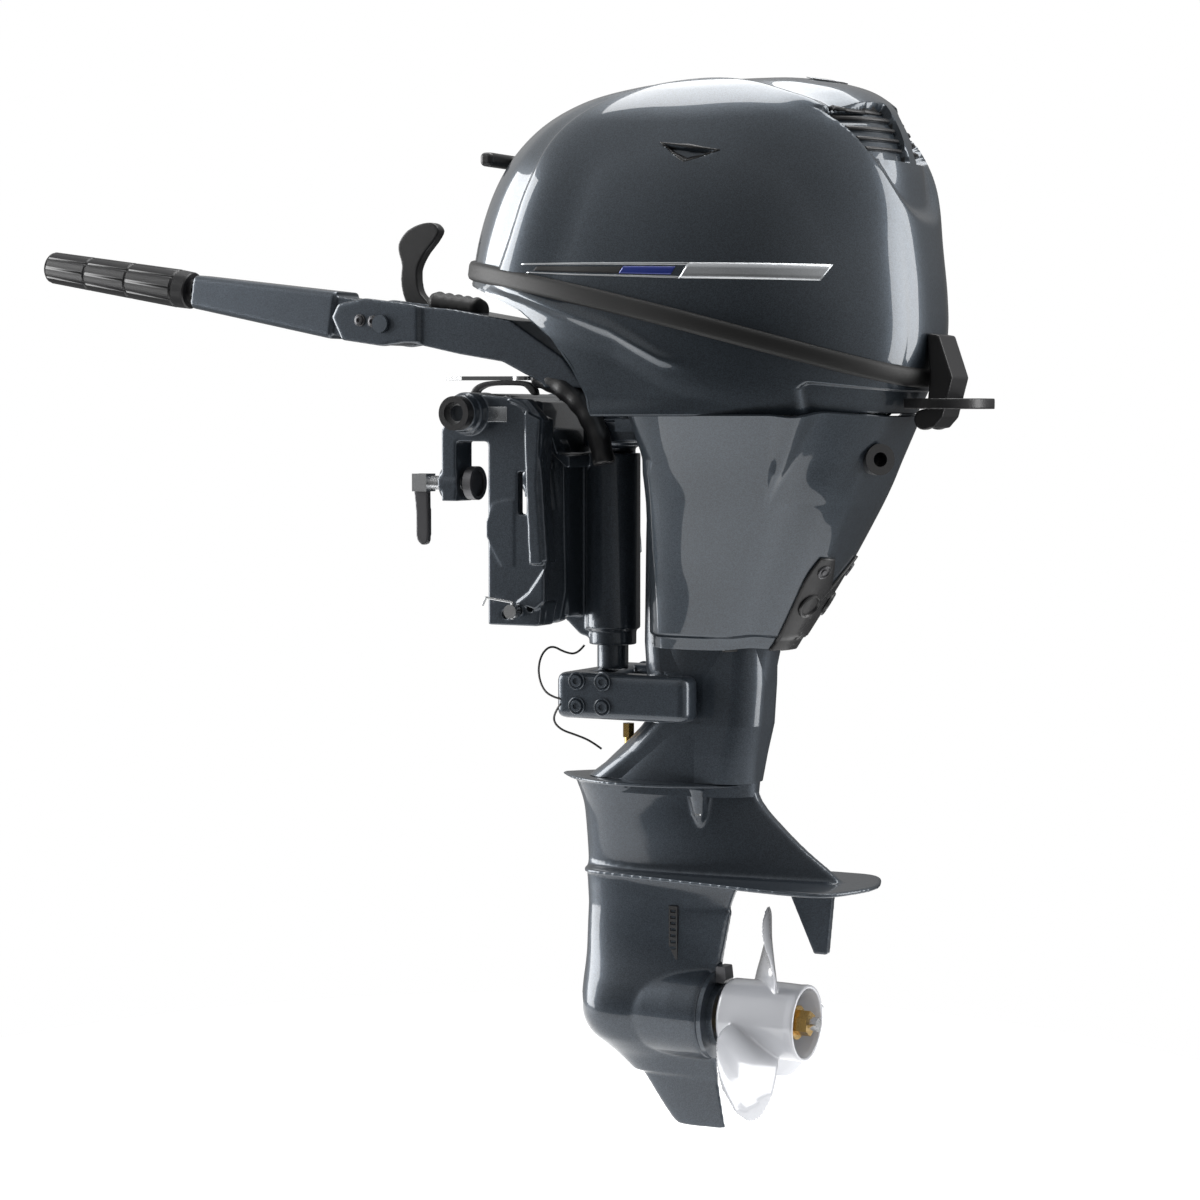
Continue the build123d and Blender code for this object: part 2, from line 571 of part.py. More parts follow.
# ---- shafts and gears ----
def bevel_gear(teeth, other_teeth, face_share=0.68):
    """Straight bevel gear with its apex at the origin, its axis on Z and one tooth centred on +X."""
    pitch_radius = TOOTH_MODULE * teeth / 2
    cone = math.atan2(teeth, other_teeth)
    apex_distance = pitch_radius / math.tan(cone)
    addendum, dedendum = 0.75 * TOOTH_MODULE, 1.25 * TOOTH_MODULE

    def at(depth, half_angle, share):
        radius = (pitch_radius + depth * math.cos(cone)) * share
        height = (apex_distance - depth * math.sin(cone)) * share
        return (radius * math.cos(half_angle), radius * math.sin(half_angle), height)

    def tooth_face(share):
        root, tip = math.pi / teeth * 0.52, math.pi / teeth * 0.20
        corners = [at(-dedendum * 1.15, -root, share), at(addendum, -tip, share), at(addendum, tip, share),
                   at(-dedendum * 1.15, root, share)]
        return make_face(Polyline(*corners, close=True))

    tooth = loft([tooth_face(1.0), tooth_face(face_share)], ruled=True)
    root_big, root_small = at(-dedendum, 0, 1.0), at(-dedendum, 0, face_share)
    back = root_big[2] + 5
    blank = make_face(Polyline((0, 0, root_small[2]), (root_small[0], 0, root_small[2]),
                               (root_big[0], 0, root_big[2]),
                               (root_big[0], 0, back), (0, 0, back), close=True))
    gear = revolve(blank, Axis.Z)
    for index in range(teeth):
        gear += Rot(0, 0, 360 / teeth * index) * tooth
    return gear


def gear_set():
    """Pinion above the propeller shaft, with the forward gear ahead of it and the reverse gear behind."""
    centre = Location((DRIVE_X, 0, PROP_Z))
    pinion = centre * (Rot(0, 0, 180) * bevel_gear(DRIVE_TEETH, DRIVEN_TEETH))
    pinion -= rod((DRIVE_X, 0, PROP_Z), (DRIVE_X, 0, PROP_Z + 60), 6)
    driven = bevel_gear(DRIVEN_TEETH, DRIVE_TEETH)
    half_tooth = 180 / DRIVEN_TEETH
    reverse = centre * (Rot(0, 90, 0) * (Rot(0, 0, 180) * driven))
    forward = centre * (Rot(0, -90, 0) * (Rot(0, 0, half_tooth) * driven))
    forward += pipe((DRIVE_X - 60, 0, PROP_Z), (DRIVE_X - 22, 0, PROP_Z), 14.9, 11 + RUN)
    forward -= rod((80, 0, PROP_Z), (DRIVE_X, 0, PROP_Z), 11 + RUN)
    reverse -= rod((DRIVE_X, 0, PROP_Z), (DRIVE_X + 60, 0, PROP_Z), 11 + RUN)
    return pinion, forward, reverse


def dog_clutch():
    """Sliding sleeve between the gears, splined to the propeller shaft."""
    sleeve = pipe((DRIVE_X - 7, 0, PROP_Z), (DRIVE_X + 7, 0, PROP_Z), 15, 11 + RUN)
    return sleeve - pipe((DRIVE_X - 2, 0, PROP_Z), (DRIVE_X + 2, 0, PROP_Z), 16, 13.5)


def propeller_parts():
    """Propeller shaft, propeller, its rubber bush, and the washer, nut and cotter pin."""
    shaft = rod((90, 0, PROP_Z), (296, 0, PROP_Z), 11) + rod((296, 0, PROP_Z), (318, 0, PROP_Z), 7)
    hub = pipe((222, 0, PROP_Z), (306, 0, PROP_Z), 38, 32)
    core = pipe((226, 0, PROP_Z), (290, 0, PROP_Z), 20, 16.5)
    wheel = hub + core
    for spoke in range(3):
        angle = math.radians(30 + 120 * spoke)
        web = box((230, 280), (-3, 3), (18, 33))
        wheel += Pos(0, 0, PROP_Z) * (Rot(math.degrees(angle), 0, 0) * web)
    for blade in range(3):
        wheel += Pos(0, 0, PROP_Z) * (Rot(120 * blade, 0, 0) * propeller_blade())
    bush = pipe((226, 0, PROP_Z), (288, 0, PROP_Z), 16.5, 11)
    washer = pipe((217, 0, PROP_Z), (222, 0, PROP_Z), 20, 11)
    plate = pipe((290, 0, PROP_Z), (295.9, 0, PROP_Z), 17, 11)
    nut = hexagon_prism((296.2, 0, PROP_Z), (1, 0, 0), 22, 13) - rod((290, 0, PROP_Z), (320, 0, PROP_Z), 7)
    cotter = rod((313, -13, PROP_Z), (313, 13, PROP_Z), 1.5) - rod((305, 0, PROP_Z), (320, 0, PROP_Z), 7)
    return shaft, wheel, bush, [washer, plate, nut, cotter]


def propeller_blade():
    """One blade rising along Z from the hub at the origin, pitched about its own axis."""
    sections = []
    for radius, chord, pitch, rake, thick in ((34, 52, 49, 262, 7), (62, 84, 33, 262, 5.5),
                                              (90, 88, 22, 264, 4.2), (108, 66, 17, 266, 3.0),
                                              (PROP_RADIUS, 30, 16, 268, 2.0)):
        turn = math.radians(pitch)
        plane = Plane(origin=(rake, 0, radius), x_dir=(math.sin(turn), -math.cos(turn), 0), z_dir=(0, 0, 1))
        sections.append(plane * fillet(Rectangle(chord, thick).vertices(), thick * 0.45))
    return loft(sections)


def drive_train():
    """Driveshaft, pump impeller, crankshaft and flywheel, all turning together."""
    shaft = rod((DRIVE_X, 0, PROP_Z + 26), (DRIVE_X, 0, 30), 6)
    impeller = pipe((DRIVE_X, 0, -330), (DRIVE_X, 0, -316), 10, 6)
    for vane in range(6):
        impeller += Pos(DRIVE_X, 0, 0) * (Rot(0, 0, 60 * vane) * box((9, 16.5), (-1.2, 1.2), (-330, -316)))
    crank = rod((DRIVE_X, 0, 30), (DRIVE_X, 0, 262), 10)
    for height in CRANK_WEBS:
        crank += rod((DRIVE_X, 0, height), (DRIVE_X, 0, height + 12), 38)
    wheel = pipe((DRIVE_X, 0, 236), (DRIVE_X, 0, 262), 88, 10)
    for tooth in range(60):
        angle = math.radians(6 * tooth)
        centre = (DRIVE_X + 88 * math.cos(angle), 88 * math.sin(angle))
        wheel -= rod((*centre, 235), (*centre, 243), 2.2)
    return shaft, impeller, crank, wheel


def powerhead():
    """Cylinder block, head and the recoil starter's housing over the flywheel."""
    block = box((114, 220), (-62, 62), (94, 226)) + box((143, 330), (-58, 58), (30, 216))
    block += plan_prism([(143, -70), (330, -70), (330, 70), (143, 70)], (22, 32), 8)
    block -= rod((DRIVE_X, 0, 20), (DRIVE_X, 0, 240), 10 + RUN)
    for height in CRANK_WEBS:
        block -= rod((DRIVE_X, 0, height - 1), (DRIVE_X, 0, height + 13), 39)
    head = box((330, 372), (-56, 56), (44, 212))
    for height in CYLINDER_Z:
        block -= rod((DRIVE_X + 40, 0, height), (331, 0, height), 26)
        head -= rod((329, 0, height), (338, 0, height), 25)
        head -= rod((330, 0, height), (373, 0, height), 5)
    cover = rod((DRIVE_X, 0, 268), (DRIVE_X, 0, 300), 98) - rod((DRIVE_X, 0, 260), (DRIVE_X, 0, 294), 94)
    for index in range(3):
        angle = math.radians(60 + 120 * index)
        centre = (DRIVE_X + 99 * math.cos(angle), 99 * math.sin(angle))
        cover += rod((*centre, 226), (*centre, 290), 6)
    cover -= rod((DRIVE_X, 0, 234), (DRIVE_X, 0, 266), 90)
    spool = rod((DRIVE_X, 0, 270), (DRIVE_X, 0, 294), 60)
    return block, head, cover + spool


def pump_housing():
    """Water pump body on top of the gearcase, around the impeller."""
    body = pipe((DRIVE_X, 0, -337.8), (DRIVE_X, 0, -308), 20.8, 17.2)
    body += pipe((DRIVE_X, 0, -337.8), (DRIVE_X, 0, -332), 20.8, 6 + RUN)
    return body + pipe((DRIVE_X, 0, -312), (DRIVE_X, 0, -306), 20.8, 6 + RUN)


def shift_rod():
    """Rod from the clutch's fork up to the bottom cowl, cranked behind the steering tube."""
    lower = rod((106, 0, -556), (106, 0, -289), 4)
    nut = hexagon_prism((106, 0, -300), (0, 0, 1), 11, 14)
    return lower + nut


# ---- ground leads: limp wires in the open, from casting to casting ----
WIRE_RADIUS = 1.1
STEERING_LEAD = [(66, -20, -206.5), (60, -24, -216), (50, -32, -214), (40, -42, -206), (34, -52, -214),
                 (34, -60, -230), (42, -67, -246), (54, -71, -255), (67, -72.4, -257)]
CASE_LEAD = [(67, -72.4, -262), (58, -68, -271), (52, -60, -282), (56, -50, -291), (68, -42, -296),
             (82, -36, -302), (92, -32, -310)]


def lead(name, points):
    """Round wire along straight runs joined by tangent arcs."""
    vectors = [Vector(*point) for point in points]
    radii = []
    for before, here, after in zip(vectors, vectors[1:], vectors[2:]):
        first, second = here - before, after - here
        turn = first.get_angle(second)
        radii.append(0.45 * min(first.length, second.length) / math.tan(math.radians(turn / 2)))
    print(name, "arc radii", [round(radius, 1) for radius in radii])
    path = FilletPolyline(*vectors, radius=radii)
    section = Plane(origin=path @ 0, z_dir=path % 0) * Circle(WIRE_RADIUS)
    wire = sweep(section, path)
    print(name, "volume against section times length", round(wire.volume, 1),
          round(math.pi * WIRE_RADIUS ** 2 * path.length, 1), "length", round(path.length, 1))
    return wire


def main():
    os.makedirs("parts", exist_ok=True)
    bracket = bracket_plate()
    write("clamp_bracket_port", bracket)
    write("clamp_bracket_starboard", mirrored(bracket))
    write("tilt_tube", pipe((TILT_X, -126, TILT_Z), (TILT_X, 126, TILT_Z), 11, 8))
    nuts = [pipe((TILT_X, side * 113.2, TILT_Z), (TILT_X, side * 134, TILT_Z), 17, 11)
            for side in (PORT, STARBOARD)]
    write("tilt_tube_nuts", *nuts)
    pad, screw, handle = clamp_screw_parts()
    for side, word in ((PORT, "port"), (STARBOARD, "starboard")):
        place = (lambda shape: shape) if side == PORT else mirrored
        write(f"{word}_clamp_pad", place(pad))
        write(f"{word}_clamp_screw", place(screw))
        write(f"{word}_clamp_handle", place(handle))
    pin, bail = trim_pin_parts()
    write("trim_pin", pin)
    write("trim_pin_bail", bail)
    swivel, bushes = swivel_parts()
    write("swivel_bracket", swivel)
    write("swivel_bushes", *bushes)
    write("tilt_support_lever", tilt_support_lever())
    write("steering_friction_lever", steering_friction_lever())
    write("steering_bracket", steering_bracket())
    arm, grip = tiller_parts()
    write("tiller_arm", arm)
    write("throttle_grip", grip)
    write("tiller_pivot_bolt", tiller_pivot_bolt())
    write("shift_lever", shift_lever())
    top, seal, grilles, bottom = cowl_parts()
    write("top_cowl", top)
    write("cowl_seal", seal)
    write("air_intakes", *grilles)
    write("bottom_cowl", bottom)
    write("rear_handle", rear_handle())
    write("cowl_latch", cowl_latch())
    write("starter_handle", starter_handle())
    write("apron", apron_shell())
    write("flush_fitting", flush_fitting())
    write("exhaust_outlets", *exhaust_outlets())
    write("upper_case", upper_case())
    cover, rubbers, bolts = mount_parts()
    write("lower_mount_cover", cover)
    write("mount_rubbers", *rubbers)
    write("mount_bolts", *bolts)
    write("gearcase", gearcase())
    case_bolts, screens, anode, carrier = leg_fittings()
    write("gearcase_bolts", *case_bolts)
    write("water_inlet_screens", *screens)
    write("gearcase_anode", anode)
    write("bearing_carrier", carrier)
    write("trim_tab", trim_tab())
    pinion, forward, reverse = gear_set()
    write("pinion_gear", pinion)
    write("forward_gear", forward)
    write("reverse_gear", reverse)
    write("dog_clutch", dog_clutch())
    shaft, wheel, bush, fasteners = propeller_parts()
    write("propeller_shaft", shaft)
    write("propeller", wheel)
    write("propeller_bush", bush)
    write("propeller_fasteners", *fasteners)
    driveshaft, impeller, crank, flywheel = drive_train()
    write("driveshaft", driveshaft)
    write("pump_impeller", impeller)
    write("crankshaft", crank)
    write("flywheel", flywheel)
    block, head, recoil = powerhead()
    write("engine_block", block)
    write("cylinder_head", head)
    write("recoil_starter", recoil)
    write("water_pump_housing", pump_housing())
    write("shift_rod", shift_rod())
    write("steering_ground_lead", lead("steering_ground_lead", STEERING_LEAD))
    write("case_ground_lead", lead("case_ground_lead", CASE_LEAD))


main()
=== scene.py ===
"""Looks of the outboard motor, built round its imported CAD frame. Metres, +X aft, +Y starboard, +Z up."""
import json
import math

import bmesh
import bpy
import numpy as np
from mathutils import Matrix, Vector
from mathutils.bvhtree import BVHTree


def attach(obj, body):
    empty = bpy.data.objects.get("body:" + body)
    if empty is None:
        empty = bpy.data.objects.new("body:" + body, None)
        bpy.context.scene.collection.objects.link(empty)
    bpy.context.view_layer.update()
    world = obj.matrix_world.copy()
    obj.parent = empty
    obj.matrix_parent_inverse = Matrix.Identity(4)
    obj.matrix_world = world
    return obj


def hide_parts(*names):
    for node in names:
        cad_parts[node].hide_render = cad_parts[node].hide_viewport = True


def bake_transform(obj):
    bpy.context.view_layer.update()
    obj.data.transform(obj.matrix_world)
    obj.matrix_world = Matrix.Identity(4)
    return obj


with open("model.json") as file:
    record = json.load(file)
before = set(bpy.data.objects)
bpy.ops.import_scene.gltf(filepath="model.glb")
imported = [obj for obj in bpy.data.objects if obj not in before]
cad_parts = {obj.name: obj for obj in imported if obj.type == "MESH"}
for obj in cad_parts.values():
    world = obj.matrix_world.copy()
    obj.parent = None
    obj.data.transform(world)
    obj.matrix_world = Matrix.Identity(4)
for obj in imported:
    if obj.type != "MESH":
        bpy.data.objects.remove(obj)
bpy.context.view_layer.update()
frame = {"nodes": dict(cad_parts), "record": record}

MM = 0.001
PORT, STARBOARD = -1, 1

# ---- rows of the smooth forms, in millimetres, as in the CAD ----
# height, front, rear, half width, squareness
COWL_ROWS = [
    (-40, -62, 385, 132, 2.5), (12, -60, 404, 144, 2.6), (60, -55, 426, 157, 2.6), (120, -50, 435, 164, 2.6),
    (200, -38, 424, 160, 2.6), (262, -15, 413, 147, 2.6), (306, 18, 397, 124, 2.5), (334, 62, 366, 92, 2.4),
    (348, 116, 328, 62, 2.3), (354, 172, 276, 30, 2.15), (355.5, 214, 228, 4, 2.0),
]
APRON_ROWS = [
    (60, 118, 424, 162, 2.6), (26, 122, 407, 143, 2.6), (-16, 126, 389, 122, 2.6), (-60, 130, 371, 104, 2.5),
    (-130, 130, 334, 78, 2.5), (-200, 128, 291, 57, 2.5), (-230, 127, 276, 48, 2.5),
]
CASE_ROWS = [
    (-150, 139, 284, 44, 2.9), (-200, 136, 272, 39, 2.9), (-240, 138, 264, 37, 2.9),
    (-275, 134, 260, 37.5, 2.8),
    (-300, 112, 256, 38, 2.6), (-320, 90, 253, 38, 2.5), (-338, 70, 251, 38, 2.4), (-352, 56, 250, 38, 2.3),
]
BAND_ARC = ((-140, 187), (170, 134), (520, 30))


def circle_through(points):
    (ax, ay), (bx, by), (cx, cy) = points
    d = 2 * (ax * (by - cy) + bx * (cy - ay) + cx * (ay - by))
    a2, b2, c2 = ax * ax + ay * ay, bx * bx + by * by, cx * cx + cy * cy
    ux = (a2 * (by - cy) + b2 * (cy - ay) + c2 * (ay - by)) / d
    uy = (a2 * (cx - bx) + b2 * (ax - cx) + c2 * (bx - ax)) / d
    return ux, uy, math.hypot(ax - ux, ay - uy)


BAND_CX, BAND_CZ, BAND_R = circle_through(BAND_ARC)


def band_z(x):
    """Height of the seal's centre line over a place along the motor."""
    return BAND_CZ + np.sqrt(BAND_R ** 2 - (x - BAND_CX) ** 2)


def smooth_rows(rows, u):
    """Catmull-Rom interpolation of rows at fractional index u (an array)."""
    rows = np.array(rows, float)
    last = len(rows) - 1
    u = np.clip(np.asarray(u, float), 0, last)
    i = np.minimum(u.astype(int), last - 1)
    f = (u - i)[..., None]
    p0, p1 = rows[np.maximum(i - 1, 0)], rows[i]
    p2, p3 = rows[i + 1], rows[np.minimum(i + 2, last)]
    return 0.5 * (2 * p1 + (p2 - p0) * f + (2 * p0 - 5 * p1 + 4 * p2 - p3) * f ** 2
                  + (3 * p1 - p0 - 3 * p2 + p3) * f ** 3)


def egg(rows, u, angle):
    """Points of an egg-shaped form: u along the rows, angle round them, 0 at the rear, 90 deg to starboard."""
    r = smooth_rows(rows, u)
    z, front, rear, half, power = (r[..., k] for k in range(5))
    c, s = np.cos(angle), np.sin(angle)
    along = np.sign(c) * np.abs(c) ** (2 / power)
    across = np.sign(s) * np.abs(s) ** (2 / power)
    middle = front + 0.47 * (rear - front)
    x = middle + np.where(along > 0, (rear - middle) * along, (middle - front) * along)
    narrowing = 1 - 0.10 * np.clip(along, 0, 1) ** 2 - 0.05 * np.clip(-along, 0, 1) ** 2
    return np.stack([x, across * half * narrowing, z * np.ones_like(x)], -1)


# ---- mesh tools ----
def new_object(name, verts, faces, materials, smooth=True):
    mesh = bpy.data.meshes.new(name)
    mesh.from_pydata([tuple(float(c) * MM for c in v) for v in verts], [], [list(map(int, f)) for f in faces])
    mesh.update()
    obj = bpy.data.objects.new(name, mesh)
    bpy.context.scene.collection.objects.link(obj)
    for material in materials:
        mesh.materials.append(material)
    if smooth:
        mesh.polygons.foreach_set("use_smooth", [True] * len(mesh.polygons))
    return obj


def grid_faces(rows, columns, closed=False, start=0, flip=False):
    faces = []
    for i in range(rows - 1):
        for j in range(columns if closed else columns - 1):
            k = (j + 1) % columns
            quad = (start + i * columns + j, start + i * columns + k, start + (i + 1) * columns + k,
                    start + (i + 1) * columns + j)
            faces.append(quad[::-1] if flip else quad)
    return faces


def settle(obj, distance=1e-6):
    """Merges coincident points and turns every face outward."""
    bm = bmesh.new()
    bm.from_mesh(obj.data)
    bmesh.ops.remove_doubles(bm, verts=bm.verts, dist=distance)
    bmesh.ops.dissolve_degenerate(bm, edges=bm.edges, dist=1e-7)
    bmesh.ops.recalc_face_normals(bm, faces=bm.faces)
    bm.to_mesh(obj.data)
    bm.free()
    obj.data.update()
    return obj


def place(obj, body, slot_name, *nodes):
    """Rides on a body and stands for CAD nodes; the slot name is not used."""
    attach(obj, body)
    if nodes:
        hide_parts(*nodes)
    return obj


def bake_modifiers(obj):
    """Replaces the mesh by what its modifiers make of it."""
    graph = bpy.context.evaluated_depsgraph_get()
    made = bpy.data.meshes.new_from_object(obj.evaluated_get(graph))
    obj.modifiers.clear()
    obj.data = made
    return obj


def all_smooth(obj):
    obj.data.polygons.foreach_set("use_smooth", [True] * len(obj.data.polygons))
    return obj


def crease_shading(obj, degrees=35):
    """Smooth shading with edges sharper than the angle kept crisp."""
    all_smooth(obj)
    bm = bmesh.new()
    bm.from_mesh(obj.data)
    for edge in bm.edges:
        if len(edge.link_faces) == 2:
            edge.smooth = edge.calc_face_angle(0) < math.radians(degrees)
    bm.to_mesh(obj.data)
    bm.free()
    return obj


def rounded_box(name, centre, size, bevel, materials, rotation=None):
    bm = bmesh.new()
    bmesh.ops.create_cube(bm, size=1)
    for v in bm.verts:
        v.co = Vector(v.co[k] * size[k] * MM for k in range(3))
    bmesh.ops.bevel(bm, geom=bm.edges[:] + bm.verts[:], offset=bevel * MM, segments=3, profile=0.5,
                    affect="EDGES")
    if rotation is not None:
        bm.transform(rotation.to_4x4())
    bm.transform(Matrix.Translation(Vector(centre) * MM))
    mesh = bpy.data.meshes.new(name)
    bm.to_mesh(mesh)
    bm.free()
    obj = bpy.data.objects.new(name, mesh)
    bpy.context.scene.collection.objects.link(obj)
    for material in materials:
        mesh.materials.append(material)
    return all_smooth(obj)


def lathe_points(profile, start, direction, segments=48):
    """Points and faces of a turned form. Profile is (distance along, radius) pairs from end to end."""
    axis = Vector(direction).normalized()
    side = axis.orthogonal().normalized()
    other = axis.cross(side)
    verts, faces = [], []
    for along, radius in profile:
        for k in range(segments):
            a = 2 * math.pi * k / segments
            verts.append(Vector(start) + axis * along
                         + (side * math.cos(a) + other * math.sin(a)) * max(radius, 0.02))
    faces += grid_faces(len(profile), segments, closed=True)
    faces.append(tuple(range(segments))[::-1])
    end = (len(profile) - 1) * segments
    faces.append(tuple(range(end, end + segments)))
    return verts, faces


def lathe(name, profile, start, direction, materials, segments=48, sharp=38):
    verts, faces = lathe_points(profile, start, direction, segments)
    obj = new_object(name, verts, faces, materials)
    settle(obj)
    return crease_shading(obj, sharp)


def join(name, *objs):
    """One object from several, keeping each one's materials."""
    bm = bmesh.new()
    materials, offset = [], 0
    for obj in objs:
        part = bmesh.new()
        part.from_mesh(obj.data)
        part.transform(obj.matrix_world)
        for face in part.faces:
            face.material_index += offset
        temp = bpy.data.meshes.new("temp")
        part.to_mesh(temp)
        part.free()
        bm.from_mesh(temp)
        bpy.data.meshes.remove(temp)
        materials += list(obj.data.materials)
        offset += len(obj.data.materials)
        bpy.data.objects.remove(obj)
    mesh = bpy.data.meshes.new(name)
    bm.to_mesh(mesh)
    bm.free()
    made = bpy.data.objects.new(name, mesh)
    bpy.context.scene.collection.objects.link(made)
    for material in materials:
        mesh.materials.append(material)
    return made


def melt(obj, voxel, rounds, keep=0.5):
    """Casts the form in one skin: voxel remesh, soft corners, then fewer faces."""
    remesh = obj.modifiers.new("skin", "REMESH")
    remesh.mode = "VOXEL"
    remesh.voxel_size = voxel * MM
    remesh.use_smooth_shade = True
    soft = obj.modifiers.new("soft", "SMOOTH")
    soft.factor, soft.iterations = 0.5, rounds
    if keep < 1:
        fewer = obj.modifiers.new("fewer", "DECIMATE")
        fewer.ratio = keep
    bake_modifiers(obj)
    return all_smooth(obj)


def cast_copy(node, name, voxel, rounds, material, keep=0.5, extra=()):
    """A CAD casting with its corners softened as a mould leaves them, and small details added."""
    source = frame["nodes"][node]
    mesh = source.data.copy()
    mesh.materials.clear()
    obj = bpy.data.objects.new(name, mesh)
    bpy.context.scene.collection.objects.link(obj)
    settle(obj, 2e-6)
    if extra:
        obj = join(name + ".whole", obj, *extra)
        obj.name = name
    melt(obj, voxel, rounds, keep)
    refinish(obj, material)
    return obj


def refinish(obj, finish):
    """Gives an object this one material."""
    obj.data.materials.clear()
    obj.data.materials.append(finish)


def turned(name, profile, start, direction, segments):
    """Turned body without a material, ready to be joined to others."""
    return settle(new_object(name, *lathe_points(profile, start, direction, segments), []))


def turned_ring(name, profile, start, segments):
    """Turned body about a line along the motor, whose profile closes on itself round an open middle."""
    verts, faces = lathe_points(profile, start, (1, 0, 0), segments)
    last = (len(profile) - 1) * segments
    closing = [(last + j, last + (j + 1) % segments, (j + 1) % segments, j) for j in range(segments)]
    return settle(new_object(name, verts, faces[:-2] + closing, []))


# ---- materials ----
def material(name, colour, metallic=0.0, roughness=0.4, coat=0.0, coat_roughness=0.05, variation=0.06,
             flake=0.0,
             grain=0.0, grain_scale=900.0, stretch=(1, 1, 1), wear=0.0, wear_colour=(0.5, 0.5, 0.5), sheen=0.0):
    """Procedural finish: slow colour variation, flakes or grain, uneven gloss and worn edges."""
    made = bpy.data.materials.new(name)
    made.use_nodes = True
    nodes, links = made.node_tree.nodes, made.node_tree.links
    shader = nodes["Principled BSDF"]
    shader.inputs["Metallic"].default_value = metallic
    shader.inputs["Coat Weight"].default_value = coat
    shader.inputs["Coat Roughness"].default_value = coat_roughness
    shader.inputs["Sheen Weight"].default_value = sheen
    place_node = nodes.new("ShaderNodeTexCoord")
    mapping = nodes.new("ShaderNodeMapping")
    mapping.inputs["Scale"].default_value = stretch
    links.new(place_node.outputs["Object"], mapping.inputs["Vector"])
    slow = nodes.new("ShaderNodeTexNoise")
    slow.inputs["Scale"].default_value = 14
    slow.inputs["Detail"].default_value = 5
    links.new(place_node.outputs["Object"], slow.inputs["Vector"])
    ramp = nodes.new("ShaderNodeValToRGB")
    low, high = 1 - variation, 1 + variation
    ramp.color_ramp.elements[0].position, ramp.color_ramp.elements[1].position = 0.3, 0.7
    ramp.color_ramp.elements[0].color = (*[c * low for c in colour], 1)
    ramp.color_ramp.elements[1].color = (*[min(1, c * high) for c in colour], 1)
    links.new(slow.outputs["Fac"], ramp.inputs["Fac"])
    colour_out = ramp.outputs["Color"]
    if flake:
        cells = nodes.new("ShaderNodeTexVoronoi")
        cells.inputs["Scale"].default_value = 1400
        links.new(place_node.outputs["Object"], cells.inputs["Vector"])
        spread = nodes.new("ShaderNodeMapRange")
        spread.inputs["To Min"].default_value, spread.inputs["To Max"].default_value = 1 - flake, 1 + flake
        separate = nodes.new("ShaderNodeSeparateColor")
        links.new(cells.outputs["Color"], separate.inputs["Color"])
        links.new(separate.outputs["Red"], spread.inputs["Value"])
        glitter = nodes.new("ShaderNodeVectorMath")
        glitter.operation = "SCALE"
        links.new(colour_out, glitter.inputs[0])
        links.new(spread.outputs["Result"], glitter.inputs["Scale"])
        colour_out = glitter.outputs["Vector"]
    if wear:
        geometry = nodes.new("ShaderNodeNewGeometry")
        edge = nodes.new("ShaderNodeMapRange")
        edge.inputs["From Min"].default_value, edge.inputs["From Max"].default_value = 0.53, 0.62
        edge.inputs["To Max"].default_value = wear
        links.new(geometry.outputs["Pointiness"], edge.inputs["Value"])
        mix = nodes.new("ShaderNodeMix")
        mix.data_type = "RGBA"
        links.new(edge.outputs["Result"], mix.inputs["Factor"])
        links.new(colour_out, mix.inputs["A"])
        mix.inputs["B"].default_value = (*wear_colour, 1)
        colour_out = mix.outputs["Result"]
    links.new(colour_out, shader.inputs["Base Color"])
    fine = nodes.new("ShaderNodeTexNoise")
    fine.inputs["Scale"].default_value = grain_scale
    fine.inputs["Detail"].default_value = 3
    links.new(mapping.outputs["Vector"], fine.inputs["Vector"])
    gloss = nodes.new("ShaderNodeMapRange")
    gloss.inputs["To Min"].default_value = max(0.02, roughness * 0.82)
    gloss.inputs["To Max"].default_value = min(1.0, roughness * 1.2)
    links.new(fine.outputs["Fac"], gloss.inputs["Value"])
    links.new(gloss.outputs["Result"], shader.inputs["Roughness"])
    if grain:
        bump = nodes.new("ShaderNodeBump")
        bump.inputs["Strength"].default_value = grain
        bump.inputs["Distance"].default_value = 0.0004
        links.new(fine.outputs["Fac"], bump.inputs["Height"])
        links.new(bump.outputs["Normal"], shader.inputs["Normal"])
    return made


PAINT = material("metallic_paint", (0.040, 0.052, 0.066), 0.62, 0.34, coat=1.0, coat_roughness=0.03,
                 flake=0.30, variation=0.04,
                 grain=0.05, grain_scale=260, wear=0.10, wear_colour=(0.16, 0.19, 0.22))
CAST_PAINT = material("cast_paint", (0.040, 0.051, 0.065), 0.6, 0.38, coat=0.8, coat_roughness=0.08,
                      flake=0.30, variation=0.07,
                      grain=0.16, grain_scale=420, wear=0.16, wear_colour=(0.18, 0.21, 0.24))
BLACK = material("black_moulding", (0.008, 0.008, 0.009), 0, 0.40, coat=0.15, coat_roughness=0.2,
                 variation=0.1, grain=0.22,
                 grain_scale=1100, wear=0.15, wear_colour=(0.03, 0.03, 0.03))
RUBBER = material("seal_rubber", (0.007, 0.007, 0.007), 0, 0.55, variation=0.14, grain=0.2, grain_scale=700)
GRIP_RUBBER = material("grip_rubber", (0.005, 0.005, 0.006), 0, 0.34, coat=0.0, coat_roughness=0.25,
                       variation=0.12, grain=0.06,
                       grain_scale=800)
STEEL = material("stainless", (0.60, 0.61, 0.62), 1, 0.24, variation=0.05, grain=0.12, grain_scale=500,
                 stretch=(1, 8, 8))
DARK_STEEL = material("dark_steel", (0.09, 0.09, 0.095), 0.7, 0.36, variation=0.08, grain=0.15, wear=0.3,
                      wear_colour=(0.2, 0.2, 0.21))
CAST = material("bare_casting", (0.42, 0.43, 0.44), 0.9, 0.48, variation=0.1, grain=0.5, grain_scale=600)
ZINC = material("zinc", (0.30, 0.32, 0.34), 0.7, 0.55, variation=0.12, grain=0.5, grain_scale=500)
